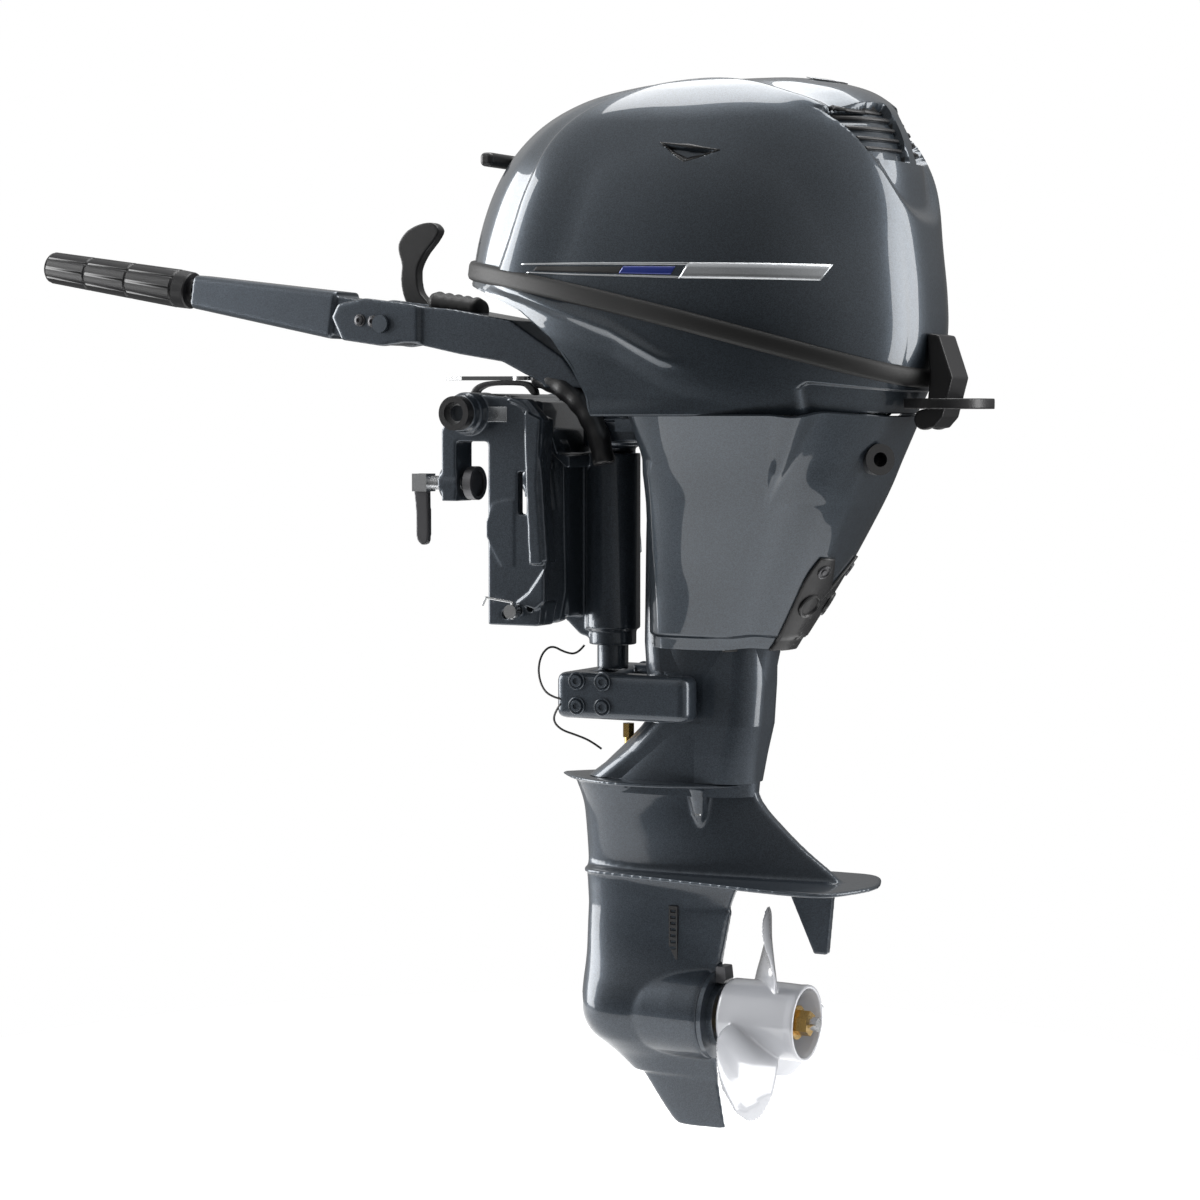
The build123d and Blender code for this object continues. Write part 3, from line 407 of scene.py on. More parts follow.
GEAR = material("ground_steel", (0.36, 0.37, 0.38), 1, 0.3, variation=0.06, grain=0.12, grain_scale=900)
BRASS = material("brass", (0.55, 0.36, 0.12), 1, 0.26, variation=0.1, grain=0.12, grain_scale=700,
                 stretch=(6, 6, 1))
WHITE = material("pearl_white", (0.50, 0.51, 0.54), 0.05, 0.24, coat=1.0, coat_roughness=0.05, variation=0.015,
                 grain=0.04,
                 grain_scale=300)
NYLON = material("nylon", (0.74, 0.73, 0.68), 0, 0.5, variation=0.04, grain=0.1)
WIRE = material("wire_jacket", (0.010, 0.010, 0.010), 0, 0.32, variation=0.1, grain=0.1)
SILVER = material("stripe_silver", (0.52, 0.54, 0.56), 0.85, 0.3, coat=0.8, variation=0.05, flake=0.08)
BLUE = material("stripe_blue", (0.012, 0.03, 0.24), 0.45, 0.3, coat=0.8, variation=0.08, flake=0.1)
# near-black: black print at the front of the side bands, and painted shade inside the cowl's vent and intake
# pockets and the exhaust mouths
DARK = material("black_print_and_hole_shade", (0.004, 0.004, 0.004), 0, 0.6, variation=0.1, grain=0.1)
PLATE = material("badge_plate", (0.50, 0.52, 0.54), 0.9, 0.25, coat=0.5, variation=0.04, grain=0.1,
                 stretch=(1, 10, 1))

BY_SLOT = {"paint": PAINT, "painted_casting": CAST_PAINT, "black_plastic": BLACK, "rubber": RUBBER,
           "steel": STEEL, "zinc": ZINC,
           "black_metal": DARK_STEEL, "cast_alloy": CAST, "gear_steel": GEAR, "brass": BRASS,
           "pearl_white": WHITE,
           "nylon": NYLON, "wire": WIRE}
SLOT_OF = {row["node"]: row["material_slot"] for row in frame["record"]["subparts"]}
BODY_OF = {n: body for body, members in frame["record"]["behaviour"]["bodies"].items() for n in members}
OWN_FINISH = {"tiller_pivot_bolt": CAST_PAINT, "gearcase_anode": DARK_STEEL}
for node, obj in frame["nodes"].items():
    refinish(obj, OWN_FINISH.get(node, BY_SLOT[SLOT_OF[node]]))

# ---- top cowl ----
COLUMNS = 460


def even_angles(rows, u, count):
    """Angles that space points evenly round a form at one of its rows."""
    fine = np.linspace(0, 2 * math.pi, 4001)
    p = egg(rows, np.full(fine.shape, float(u)), fine)
    run = np.concatenate([[0], np.cumsum(np.linalg.norm(np.diff(p, axis=0), axis=1))])
    return np.interp(np.linspace(0, run[-1], count, endpoint=False), run, fine)


angles = even_angles(COWL_ROWS, 4, COLUMNS)


def solve_u(rows, angle, wanted, low, high):
    """Row position where each column meets a height that depends on its place along the motor."""
    low, high = np.full(angle.shape, float(low)), np.full(angle.shape, float(high))
    for _ in range(40):
        middle = (low + high) / 2
        point = egg(rows, middle, angle)
        below = point[..., 2] < wanted(point[..., 0])
        low, high = np.where(below, middle, low), np.where(below, high, middle)
    return (low + high) / 2


CREST = [(40, 160), (56, 196), (72, 246), (92, 293), (126, 322), (172, 338), (225, 344), (270, 340),
         (312, 328), (362, 304),
         (396, 264), (420, 214), (438, 160), (446, 120), (440, 60), (434, 20)]
VENT = [(211, 283.5), (270, 274.5), (257, 270.5), (238, 266), (225, 273)]
INTAKE = [(-9, 321), (-40, 320), (-86, 311), (-70, 270), (-40, 267), (-9, 266)]


def inside_polygon(px, py, polygon):
    inside = np.zeros(px.shape, bool)
    for (ax, ay), (bx, by) in zip(polygon, polygon[1:] + polygon[:1]):
        crosses = (ay > py) != (by > py)
        where = (bx - ax) * (py - ay) / (by - ay + 1e-12) + ax
        inside ^= crosses & (px < where)
    return inside


def edge_distance(px, py, polygon, closed=True):
    best = np.full(px.shape, 1e9)
    ends = list(zip(polygon, polygon[1:] + (polygon[:1] if closed else [])))
    for (ax, ay), (bx, by) in ends[:len(polygon) if closed else len(polygon) - 1]:
        dx, dy = bx - ax, by - ay
        t = np.clip(((px - ax) * dx + (py - ay) * dy) / (dx * dx + dy * dy + 1e-12), 0, 1)
        best = np.minimum(best, np.hypot(px - ax - t * dx, py - ay - t * dy))
    return best


def smoothstep(a, b, x):
    t = np.clip((x - a) / (b - a), 0, 1)
    return t * t * (3 - 2 * t)


def fine_line(points, steps=10):
    rows = smooth_rows([p for p in points], np.linspace(0, len(points) - 1, steps * (len(points) - 1) + 1))
    return [tuple(r) for r in rows]


CREST_LINE = fine_line(CREST)


def cowl_surface(u, angle):
    """Cowl skin with its sculpted panels, in millimetres."""
    p = egg(COWL_ROWS, u, angle)
    e = 1e-3
    du = egg(COWL_ROWS, np.clip(u + e, 0, 10), angle) - egg(COWL_ROWS, u - e, angle)
    da = egg(COWL_ROWS, u, angle + e) - egg(COWL_ROWS, u, angle - e)
    normal = np.cross(da, du)
    normal /= np.linalg.norm(normal, axis=-1, keepdims=True) + 1e-9
    x, y, z = p[..., 0], p[..., 1], p[..., 2]
    # distance to the crest measured on the slope: heights count more where the skin lies flat
    within = inside_polygon(x, z, CREST_LINE + [(434, -80), (40, -80)])
    away = edge_distance(x, z, CREST_LINE, closed=False) / np.clip(np.abs(normal[..., 1]), 0.28, 1)
    signed = np.where(within, away, -away)
    raised = 9.0 * smoothstep(-15, 0.6, signed) - 6.5 * smoothstep(0.8, 70, signed) - 3.0 * smoothstep(-60,
                                                                                                       -15,
                                                                                                       signed)
    shelf = 1.8 * smoothstep(0, 60, signed) * smoothstep(70, 120, z) * smoothstep(330, 250, x)
    vent_in = inside_polygon(x, z, VENT) & (np.abs(y) > 60)
    vent_edge = edge_distance(x, z, VENT)
    sunk = np.where(vent_in, -9.0 * smoothstep(0, 3.5, vent_edge), 0)
    intake_in = inside_polygon(-np.abs(y), z, INTAKE) & (x > 300)
    intake_edge = edge_distance(-np.abs(y), z, INTAKE)
    sunk = sunk + np.where(intake_in, -16.0 * smoothstep(0, 3.0, intake_edge), 0)
    lip = 3.0 * smoothstep(24, 4, np.abs(z - 326)) * smoothstep(300, 360, x) * smoothstep(100, 80, np.abs(y))
    # the vent and intake pockets are painted near-black: painted shade for the dark inside of the openings
    dark = (vent_in & (vent_edge > 0.8)) | (intake_in & (intake_edge > 0.8))
    return p + normal * (raised - shelf + sunk + lip)[..., None], dark, normal


def build_cowl():
    low = solve_u(COWL_ROWS, angles, lambda x: band_z(x) + 7.2, 1, 9)
    count = 230
    share = np.linspace(0, 1, count)
    u = low[None, :] + (9.995 - low[None, :]) * share[:, None]
    a = np.broadcast_to(angles[None, :], u.shape)
    points, dark, normal = cowl_surface(u, a)
    lining = (egg(COWL_ROWS, u, a) - normal * 7.0)[::10]
    verts = np.concatenate([points[::-1].reshape(-1, 3), lining.reshape(-1, 3)])
    layers = count + len(lining)
    faces = grid_faces(layers, COLUMNS, closed=True)
    last = (layers - 1) * COLUMNS
    faces.append(tuple(range(last, last + COLUMNS)))
    faces.append(tuple(range(COLUMNS)))
    dark = np.concatenate([dark[::-1].reshape(-1), np.zeros(lining.shape[0] * COLUMNS, bool)])
    obj = new_object("top_cowl_shell", verts, faces, [PAINT, DARK])
    # faces inside the vent and intake pockets take the near-black second material, painted shade for the dark
    # inside of the openings
    for polygon in obj.data.polygons:
        if len(polygon.vertices) == 4 and all(dark[v] for v in polygon.vertices):
            polygon.material_index = 1
    settle(obj)
    crease_shading(obj, 50)
    tree = BVHTree.FromPolygons([v.co.copy() for v in obj.data.vertices],
                                [p.vertices[:] for p in obj.data.polygons])
    place(obj, "top_cowl", "paint", "top_cowl")
    return tree


def sticker(name, rows, tree, material_, body, lift=0.35, direction=None, film=0.0003):
    """Thin film laid on a skin. Rows are lists of (x, z) on the side, or (x, y) from above."""
    verts, index = [], {}
    for i, row in enumerate(rows):
        for j, point in enumerate(row):
            if direction == "down":
                origin, way = Vector((point[0], point[1], 600)) * MM, Vector((0, 0, -1))
            elif direction == "aft":
                origin, way = Vector((700, point[0], point[1])) * MM, Vector((-1, 0, 0))
            elif isinstance(direction, tuple):
                way = Vector(direction)
                square = Vector((-way.y, way.x, 0))
                origin = (square * point[0] + Vector((0, 0, point[1])) - way * 900) * MM
            else:
                origin, way = Vector((point[0], direction * 400, point[1])) * MM, Vector((0, -direction, 0))
            hit, normal, _, _ = tree.ray_cast(origin, way)
            if hit is None:
                continue
            if normal.dot(way) > 0:
                normal = -normal
            index[(i, j)] = len(verts)
            verts.append((hit + normal * lift * MM) / MM)
    faces = []
    for i in range(len(rows) - 1):
        for j in range(min(len(rows[i]), len(rows[i + 1])) - 1):
            corner = [(i, j), (i, j + 1), (i + 1, j + 1), (i + 1, j)]
            if all(c in index for c in corner):
                faces.append([index[c] for c in corner])
    obj = new_object(name, verts, faces, [material_])
    settle(obj)
    layer = obj.modifiers.new("film", "SOLIDIFY")
    layer.thickness, layer.offset = film, 0
    bake_modifiers(obj)
    if body:
        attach(obj, body)
    return obj


cowl_tree = build_cowl()
for side, word in ((PORT, "port"), (STARBOARD, "starboard")):
    # long tapering band: a fine line above and below, dark at its front, a blue wedge and a silver field behind
    top = [(62, 172.6), (130, 171.6), (250, 169.0), (378, 166.0)]
    low = [(62, 164.0), (130, 159.4), (250, 154.0), (378, 150.6)]
    z_top, z_low = (lambda x, rows=rows: float(np.interp(x, *zip(*rows))) for rows in (top, low))

    def band(first, last, above, below, steps=60):
        """Film between two shares of the band's height, with slanted ends."""
        rows = []
        for f in np.linspace(above, below, 4):
            xs = np.linspace(first - 9 * f, last - 9 * f, steps)
            rows.append([(float(x), z_top(x) * (1 - f) + z_low(x) * f) for x in xs])
        return rows

    for name, rows, finish in ((f"{word}_band_line_above", band(70, 250, 0.0, 0.16), SILVER),
                               (f"{word}_band_line_below", band(84, 250, 0.88, 1.0), SILVER),
                               (f"{word}_band_shade", band(90, 186, 0.3, 0.76), DARK),
                               (f"{word}_band_wedge", band(186, 240, 0.26, 0.78), BLUE),
                               (f"{word}_band_field", band(250, 378, 0.0, 1.0), SILVER)):
        sticker(name, rows, cowl_tree, finish, "top_cowl", direction=side)


def frame_rows(polygon, width, steps=14):
    """Rows of a narrow border that follows a polygon's edges."""
    loop = polygon + polygon[:1]
    points = []
    for (ax, ay), (bx, by) in zip(loop, loop[1:]):
        points += [(ax + (bx - ax) * k / steps, ay + (by - ay) * k / steps) for k in range(steps)]
    points.append(points[0])
    cx, cy = sum(p[0] for p in polygon) / len(polygon), sum(p[1] for p in polygon) / len(polygon)
    rows = []
    for out in (-width, 0.0, width):
        rows.append([(x + (x - cx) / math.hypot(x - cx, y - cy) * out,
                      y + (y - cy) / math.hypot(x - cx, y - cy) * out)
                     for x, y in points])
    return rows


for side, word in ((PORT, "port"), (STARBOARD, "starboard")):
    sticker(f"{word}_vent_rim", frame_rows(VENT, 1.8), cowl_tree, BLACK, "top_cowl", lift=0.2,
            direction=side,
            film=0.0016)

# louvres in both halves of the rear intake
louvres = []
for k in range(5):
    z = 276 + 9.5 * k
    reach = 62 + 3.4 * k
    for side in (PORT, STARBOARD):
        across = np.linspace(*sorted((side * 12, side * reach)), 40)
        rows = [[(y, z + dz) for y in across] for dz in (-1.1, 1.1)]
        louvres.append(sticker("louvre", rows, cowl_tree, BLACK, None, lift=1.5, direction="aft",
                               film=0.005))
grille = join("intake_louvres", *louvres)
place(grille, "top_cowl", "black_plastic", "air_intakes")

# blank oval badge on the crown
def crown_badge():
    cx, cz = 322, 0
    rings = []
    for f in np.linspace(0.02, 1, 10):
        rings.append([(cx + 19 * f * math.cos(a), cz + 25 * f * math.sin(a)) for a in np.linspace(0,
                                                                                                  2 * math.pi,
                                                                                                  61)])
    return sticker("crown_badge", rings, cowl_tree, PLATE, "top_cowl", lift=1.2, direction="down")


crown_badge()


# ---- black seal between the cowls ----
def build_seal():
    profile = [(-3.5, -9.6), (1.6, -10.4), (4.0, -9.2), (5.4, -6.0), (5.6, 4.0), (4.4, 7.6), (2.0, 9.0),
               (-3.5, 8.0)]
    rows, count = [], 320
    a = np.linspace(0, 2 * math.pi, count, endpoint=False)
    for out, up in profile:
        u = solve_u(COWL_ROWS, a, lambda x: band_z(x) + up, 1, 9)
        _, _, normal = cowl_surface(u, a)
        p = egg(COWL_ROWS, u, a)
        rows.append(p + normal * out)
    verts = np.concatenate(rows)
    faces = grid_faces(len(profile), count, closed=True)
    faces += [tuple((len(profile) - 1) * count + k for k in (j, (j + 1) % count)) + ((j + 1) % count,
                                                                                     j) for j in range(count)]
    obj = new_object("seal_band", verts, faces, [RUBBER])
    settle(obj)
    crease_shading(obj, 50)
    return place(obj, "motor", "rubber", "cowl_seal")


build_seal()


# ---- bottom cowl ----
UNDERSIDE = [(-70, 166), (-40, 160), (0, 151), (30, 142), (64, 128), (101, 100), (122, 73), (135, 47),
             (141, 26), (600, 26)]


def underside_z(x):
    xs, zs = zip(*UNDERSIDE)
    return np.interp(x, xs, zs)


def build_bottom():
    count = 70
    high = solve_u(COWL_ROWS, angles, lambda x: band_z(x) - 8.4, 0, 9)
    low = solve_u(COWL_ROWS, angles, lambda x: np.minimum(underside_z(x), band_z(x) - 10), 0, 9)
    share = np.linspace(0, 1, count)
    u = low[None, :] + (high - low)[None, :] * share[:, None]
    a = np.broadcast_to(angles[None, :], u.shape)
    p = egg(COWL_ROWS, u, a)
    x, z = p[..., 0], p[..., 2]
    e = 1e-3
    normal = np.cross(egg(COWL_ROWS, u, a + e) - egg(COWL_ROWS, u, a - e),
                      egg(COWL_ROWS, u + e, a) - egg(COWL_ROWS, u - e, a))
    normal /= np.linalg.norm(normal, axis=-1, keepdims=True) + 1e-9
    # ridge that runs back and down from under the seal, a scoop below it, and a recessed panel at the rear
    ridge_z = np.interp(x, [-30, 10, 68, 171, 222, 300, 420], [168, 158, 143, 108, 80, 60, 34])
    form = 5.0 * np.exp(-((z - ridge_z) / 6.0) ** 2) * smoothstep(-10, 60, x) * smoothstep(260, 190, x)
    scoop_ends = smoothstep(-10, 60, x) * smoothstep(300, 160, x) * smoothstep(0, 18, z - 26)
    form = form - 5.5 * smoothstep(2, 34, ridge_z - z) * scoop_ends
    rim = edge_distance(x, z, [(-3, 148), (47, 126), (87, 103), (116, 73), (134, 32)], closed=False)
    form = form + 2.6 * smoothstep(7, 0, rim) * smoothstep(0, 6, z - 27)
    panel_top = np.interp(x, [343, 356, 470], [50, 58, 44])
    form = form - 5.0 * smoothstep(343, 353, x) * smoothstep(0, 4, panel_top - z) * smoothstep(440, 425, x)
    p = p + normal * form[..., None]
    lip = []
    for inward, rise in ((1.2, -1.0), (4.0, -1.2), (6.0, 1.0), (6.5, 10.0)):
        lip.append(p[0] - normal[0] * inward + np.array([0, 0, rise]))
    rows = lip[::-1] + list(p)
    obj = new_object("bottom_cowl_shell", np.concatenate(rows), grid_faces(len(rows), COLUMNS, closed=True),
                     [PAINT])
    settle(obj)
    front = np.abs(angles - math.pi) < 1.92
    order = np.where(front)[0]
    port_edge = [p[0][k] for k in order if angles[k] >= math.pi]
    star_edge = [p[0][k] for k in order if angles[k] <= math.pi][::-1]
    n = min(len(port_edge), len(star_edge))
    verts, across = [], 17
    for k in range(n):
        for f in np.linspace(0, 1, across):
            q = port_edge[k] * (1 - f) + star_edge[k] * f
            bow = 4 * f * (1 - f)
            verts.append(q + np.array([6.0 * bow, 0, 8.0 * bow]))
    pan = new_object("pan", verts, grid_faces(n, across), [PAINT])
    settle(pan)
    pan_shell = pan.modifiers.new("thickness", "SOLIDIFY")
    pan_shell.thickness, pan_shell.offset = 0.002, 0
    bake_modifiers(pan)
    whole = join("bottom_cowl_skin", obj, pan)
    all_smooth(whole)
    crease_shading(whole, 48)
    return place(whole, "motor", "paint", "bottom_cowl")


build_bottom()


# ---- apron ----
def build_apron():
    count, columns = 130, 260
    zs = np.linspace(25.2, -203, count)
    apron_z = [r[0] for r in APRON_ROWS]
    rows = []
    for i, z in enumerate(zs):
        u = np.interp(-z, [-v for v in apron_z], range(len(apron_z)))
        edge_x = float(np.interp(-z, [-40, 10, 60, 120, 190, 210], [156, 168, 164, 155, 146, 144]))
        a = np.linspace(0, math.pi, 6000)
        side_points = egg(APRON_ROWS, np.full(a.shape, u), a)
        reach = a[np.argmax(side_points[:, 0] < edge_x)] if (side_points[:,
                                                                         0] < edge_x).any() else math.pi * 0.95
        fine = np.linspace(-reach, reach, 1601)
        run = egg(APRON_ROWS, np.full(fine.shape, u), fine)
        arc = np.concatenate([[0], np.cumsum(np.linalg.norm(np.diff(run, axis=0), axis=1))])
        angle = np.interp(np.linspace(0, arc[-1], columns), arc, fine)
        p = egg(APRON_ROWS, np.full(angle.shape, u), angle)
        e = 1e-3
        uu = np.full(angle.shape, u)
        normal = np.cross(egg(APRON_ROWS, uu, angle + e) - egg(APRON_ROWS, uu, angle - e),
                          egg(APRON_ROWS, uu - e, angle) - egg(APRON_ROWS, uu + e, angle))
        normal /= np.linalg.norm(normal, axis=-1, keepdims=True) + 1e-9
        x = p[:, 0]
        # wide front chamfer, a blade at the top, a valley along the rear corner, and a stepped hem
        chamfer = float(np.interp(-z, [-26, 0, 18, 33, 101, 178, 200], [172, 182, 189, 181, 172, 168, 167]))
        flare = -0.27 * np.clip(chamfer - x, 0, 60)
        spoon = float(np.interp(-z, [-26, 0, 59, 66], [345, 333, 304, 301]))
        width = float(np.interp(-z, [-26, 62], [24, 2]))
        blade = 5.0 * smoothstep(width, 0, np.abs(x - spoon)) * float(np.interp(-z, [-26, 30, 66], [1, 1, 0]))
        valley_x = float(np.interp(-z, [-26, 84, 137, 200], [370, 318, 292, 262]))
        valley = -5.5 * np.exp(-((x - valley_x) / 18.0) ** 2)
        corner_x = valley_x + float(np.interp(-z, [-26, 120], [36, 34]))
        corner = 2.4 * np.exp(-((x - corner_x) / 5.0) ** 2) * float(np.interp(-z, [-26, 110, 130], [1, 1, 0]))
        hem_step = -2.6 * float(smoothstep(-188, -191, z))
        form = blade + valley + corner + hem_step
        rows.append(p + normal * (form + flare)[:, None])
    hem = rows[-1] * np.array([1, 0.96, 1]) + np.array([0, 0, 1.0])
    obj = new_object("apron_shell", np.concatenate(rows + [hem]), grid_faces(count + 1, columns), [PAINT])
    settle(obj)
    tree = BVHTree.FromPolygons([v.co.copy() for v in obj.data.vertices],
                                [p.vertices[:] for p in obj.data.polygons])
    shell = obj.modifiers.new("thickness", "SOLIDIFY")
    shell.thickness, shell.offset = 0.0032, -1
    bake_modifiers(obj)
    crease_shading(obj, 50)
    place(obj, "motor", "paint", "apron")
    return tree


apron_tree = build_apron()


def prism(name, points, low, high, axis="Y", materials=()):
    """Closed solid from a side outline (x, z), or a plan outline (x, y) when axis is Z."""
    def at(p, q):
        return (p[0], q, p[1]) if axis == "Y" else (p[0], p[1], q)
    n = len(points)
    verts = [at(p, low) for p in points] + [at(p, high) for p in points]
    faces = [tuple(range(n)), tuple(range(n, 2 * n))] + [(k, (k + 1) % n, n + (k + 1) % n,
                                                          n + k) for k in range(n)]
    obj = new_object(name, verts, faces, list(materials))
    return settle(obj)


def curved(points, steps=6, closed=True):
    loop = list(points) + [points[0]] if closed else list(points)
    count = (len(loop) - 1) * steps
    return [tuple(r) for r in smooth_rows(loop, np.linspace(0, len(loop) - 1, count, endpoint=not closed))]


# black corner mouldings on the apron, with the idle exhaust's mouth and a screw
def corner_moulding(side, word):
    quarter = Vector((-0.469, 0.883 * -side, 0)).normalized()
    square = Vector((-quarter.y, quarter.x, 0))

    def across(x, y):
        return x * square.x + side * abs(y) * square.y
    left = [(288, -52, -203), (297, -52, -190), (312, -51, -158), (325, -50, -130), (340, -50, -111)]
    right = [(318, -22, -203), (322, -24, -188), (336, -26, -158), (344, -30, -134), (349, -38, -112)]
    rows = []
    for f in np.linspace(0, 1, 12):
        row = []
        for k in np.linspace(0, 4, 41):
            l, r = smooth_rows(left, k), smooth_rows(right, k)
            p = l * (1 - f) + r * f
            row.append((across(p[0], p[1]), p[2]))
        rows.append(row)
    pad = sticker(f"{word}_corner_moulding", rows, apron_tree, BLACK, "motor", lift=0.8,
                  direction=tuple(quarter),
                  film=0.0034)
    return pad, quarter


for side, word in ((PORT, "port"), (STARBOARD, "starboard")):
    pad, quarter = corner_moulding(side, word)
    if side == PORT:
        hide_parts("exhaust_outlets")
    for label, spot, profile, finish in (
            ("mouth", (322, 36, -158), [(0, 12.5), (0, 13.5), (1.6, 13), (2.2, 11.2), (1.4, 10.2), (-1.5, 9.4),
                                        (-5, 9.0)], BLACK),
            ("screw", (339, 41, -124), [(0, 7.6), (1.4, 7.4), (1.8, 6.4), (0.4, 5.8), (0.4, 3.4), (1.6, 3.0),
                                        (1.8, 0.4)], DARK_STEEL)):
        centre = Vector((spot[0], side * spot[1], spot[2]))
        hit, normal, _, _ = apron_tree.ray_cast((centre - quarter * 200) * MM, quarter)
        if hit is None:
            continue
        normal = -normal if normal.dot(quarter) > 0 else normal
        ring = lathe(f"{word}_outlet_{label}", profile, hit / MM + normal * 2.2, normal, [finish], segments=40)
        place(ring, "motor", "black_plastic")
        if label == "mouth":
            # a near-black disc inside the mouth: painted shade standing for the dark inside of the exhaust
            # opening
            hole = lathe(f"{word}_outlet_hole_shade", [(0, 9.6), (0.4, 9.2), (0.5, 0.4)], hit / MM + normal * 1.6,
                         normal, [DARK], segments=32)
            place(hole, "motor", "black_plastic")


# ---- upper case: smooth neck below the apron ----
def build_case():
    count, columns = 60, 96
    a = np.linspace(0, 2 * math.pi, columns, endpoint=False)
    rows = [egg(CASE_ROWS, np.full(a.shape, u), a) for u in np.linspace(0, len(CASE_ROWS) - 1.001, count)]
    faces = grid_faces(count, columns, closed=True)
    faces += [tuple(range(columns)), tuple(range((count - 1) * columns, count * columns))]
    obj = new_object("upper_case_neck", np.concatenate(rows), faces, [CAST_PAINT])
    settle(obj)
    crease_shading(obj, 60)
    return place(obj, "motor", "painted_casting")


build_case()


# ---- gearcase ----
def foil_ring(z, nose, tail, half, columns=64):
    """Streamlined outline, round in front and nearly sharp behind."""
    ring = []
    for k in range(columns):
        a = 2 * math.pi * k / columns
        s = (1 - math.cos(a)) / 2
        series = 0.2969 * math.sqrt(s) - 0.126 * s - 0.3516 * s ** 2 + 0.2843 * s ** 3 - 0.090 * s ** 4
        thick = half * 2.6 * series / 0.26
        ring.append((nose + (tail - nose) * s, (thick + 0.8 * s) * (1 if a <= math.pi else -1), z))
    return ring


def skin_rings(name, rings):
    columns = len(rings[0])
    verts = [p for ring in rings for p in ring]
    faces = grid_faces(len(rings), columns, closed=True)
    faces += [tuple(range(columns)), tuple(range((len(rings) - 1) * columns, len(rings) * columns))]
    return settle(new_object(name, verts, faces, []))


def slab(name, outline_points, z_low, z_high, steps=6):
    """Flat plate with smoothed plan outline."""
    closed = list(outline_points) + [outline_points[0]]
    ring = [tuple(r) for r in smooth_rows(closed, np.linspace(0, len(closed) - 1, steps * len(outline_points),
                                                              endpoint=False))]
    return skin_rings(name, [[(x, y, z) for x, y in ring] for z in (z_low, z_high)])


def build_gearcase():
    leg_rows = [(-346, 50, 250, 38), (-356, 54, 254, 35), (-372, 58, 268, 31.5), (-400, 60, 300, 27.5),
                (-422, 61, 330, 25),
                (-434, 61, 345, 24)]
    strut_rows = [(-430, 61, 262, 24), (-440, 60, 238, 23.5), (-452, 61, 226, 23), (-490, 63, 214, 23),
                  (-520, 64, 208, 25.5), (-545, 60, 207, 33)]
    skeg_rows = [(-590, 84, 206, 9), (-612, 98, 205, 7), (-640, 122, 208, 5.6), (-670, 144, 213, 4.8),
                 (-686, 157, 216, 4.2),
                 (-691.5, 164, 217, 3.4)]
    parts = [
        skin_rings("leg", [foil_ring(*smooth_rows(leg_rows, u)) for u in np.linspace(0, 5, 26)]),
        skin_rings("strut", [foil_ring(*smooth_rows(strut_rows, u)) for u in np.linspace(0, 5, 26)]),
        skin_rings("skeg", [foil_ring(*smooth_rows(skeg_rows, u)) for u in np.linspace(0, 5, 26)]),
    ]
    profile = [(0.2, 0.5), (2, 7), (6, 13.5), (12, 20), (22, 27.5), (36, 35), (56, 41), (80, 44.5), (110, 46),
               (136, 46), (141.5, 45.5),
               (142.0, 44)]
    parts.append(turned("torpedo", profile, (62, 0, -575), (1, 0, 0), 56))
    # skirts that blend the leg into the torpedo, and the torpedo into the skeg
    skirt_rows = [(-470, 62, 222, 22.6), (-500, 61, 216, 24.5), (-520, 61, 212, 29), (-536, 60.5, 209, 35.5),
                  (-550, 60, 207, 42),
                  (-566, 60, 205, 46.5), (-584, 61.5, 205, 46.5), (-600, 69, 205, 40), (-612, 82, 205, 29),
                  (-624, 96, 206, 18), (-640, 114, 208, 9.5)]
    skirt_stations = np.linspace(0, len(skirt_rows) - 1, 60)
    parts.append(skin_rings("skirt", [foil_ring(*smooth_rows(skirt_rows, u)) for u in skirt_stations]))
    splash = [(30, 0), (62, -34), (104, -56), (150, -60), (190, -50), (222, -36), (240, -20), (246, 0),
              (240, 20), (222, 36), (190, 50),
              (150, 60), (104, 56), (62, 34)]
    parts.append(slab("splash", splash, -343, -338.6))
    plate = [(62, 0), (66, -20), (84, -37), (140, -47), (210, -57), (283, -68), (330, -71), (353, -64),
             (368, -38), (377, 0), (368, 38),
             (353, 64), (330, 71), (283, 68), (210, 57), (140, 47), (84, 37), (66, 20)]
    parts.append(slab("plate", plate, -437.5, -432.5))
    parts.append(skin_rings("rib", [foil_ring(z, 64, 330, 5) for z in (-429, -433)]))
    for side in (PORT, STARBOARD):
        for x in (100, 198):
            parts.append(turned("boss", [(0, 11), (10, 10.4), (28, 7.5), (44, 3.0)], (x, side * 26, -343),
                                (0, -side * 0.18, -1), 24))
    whole = join("gearcase_skin", *parts)
    melt(whole, 1.7, 11, 0.42)
    refinish(whole, CAST_PAINT)
    return place(whole, "motor", "painted_casting", "gearcase")


build_gearcase()


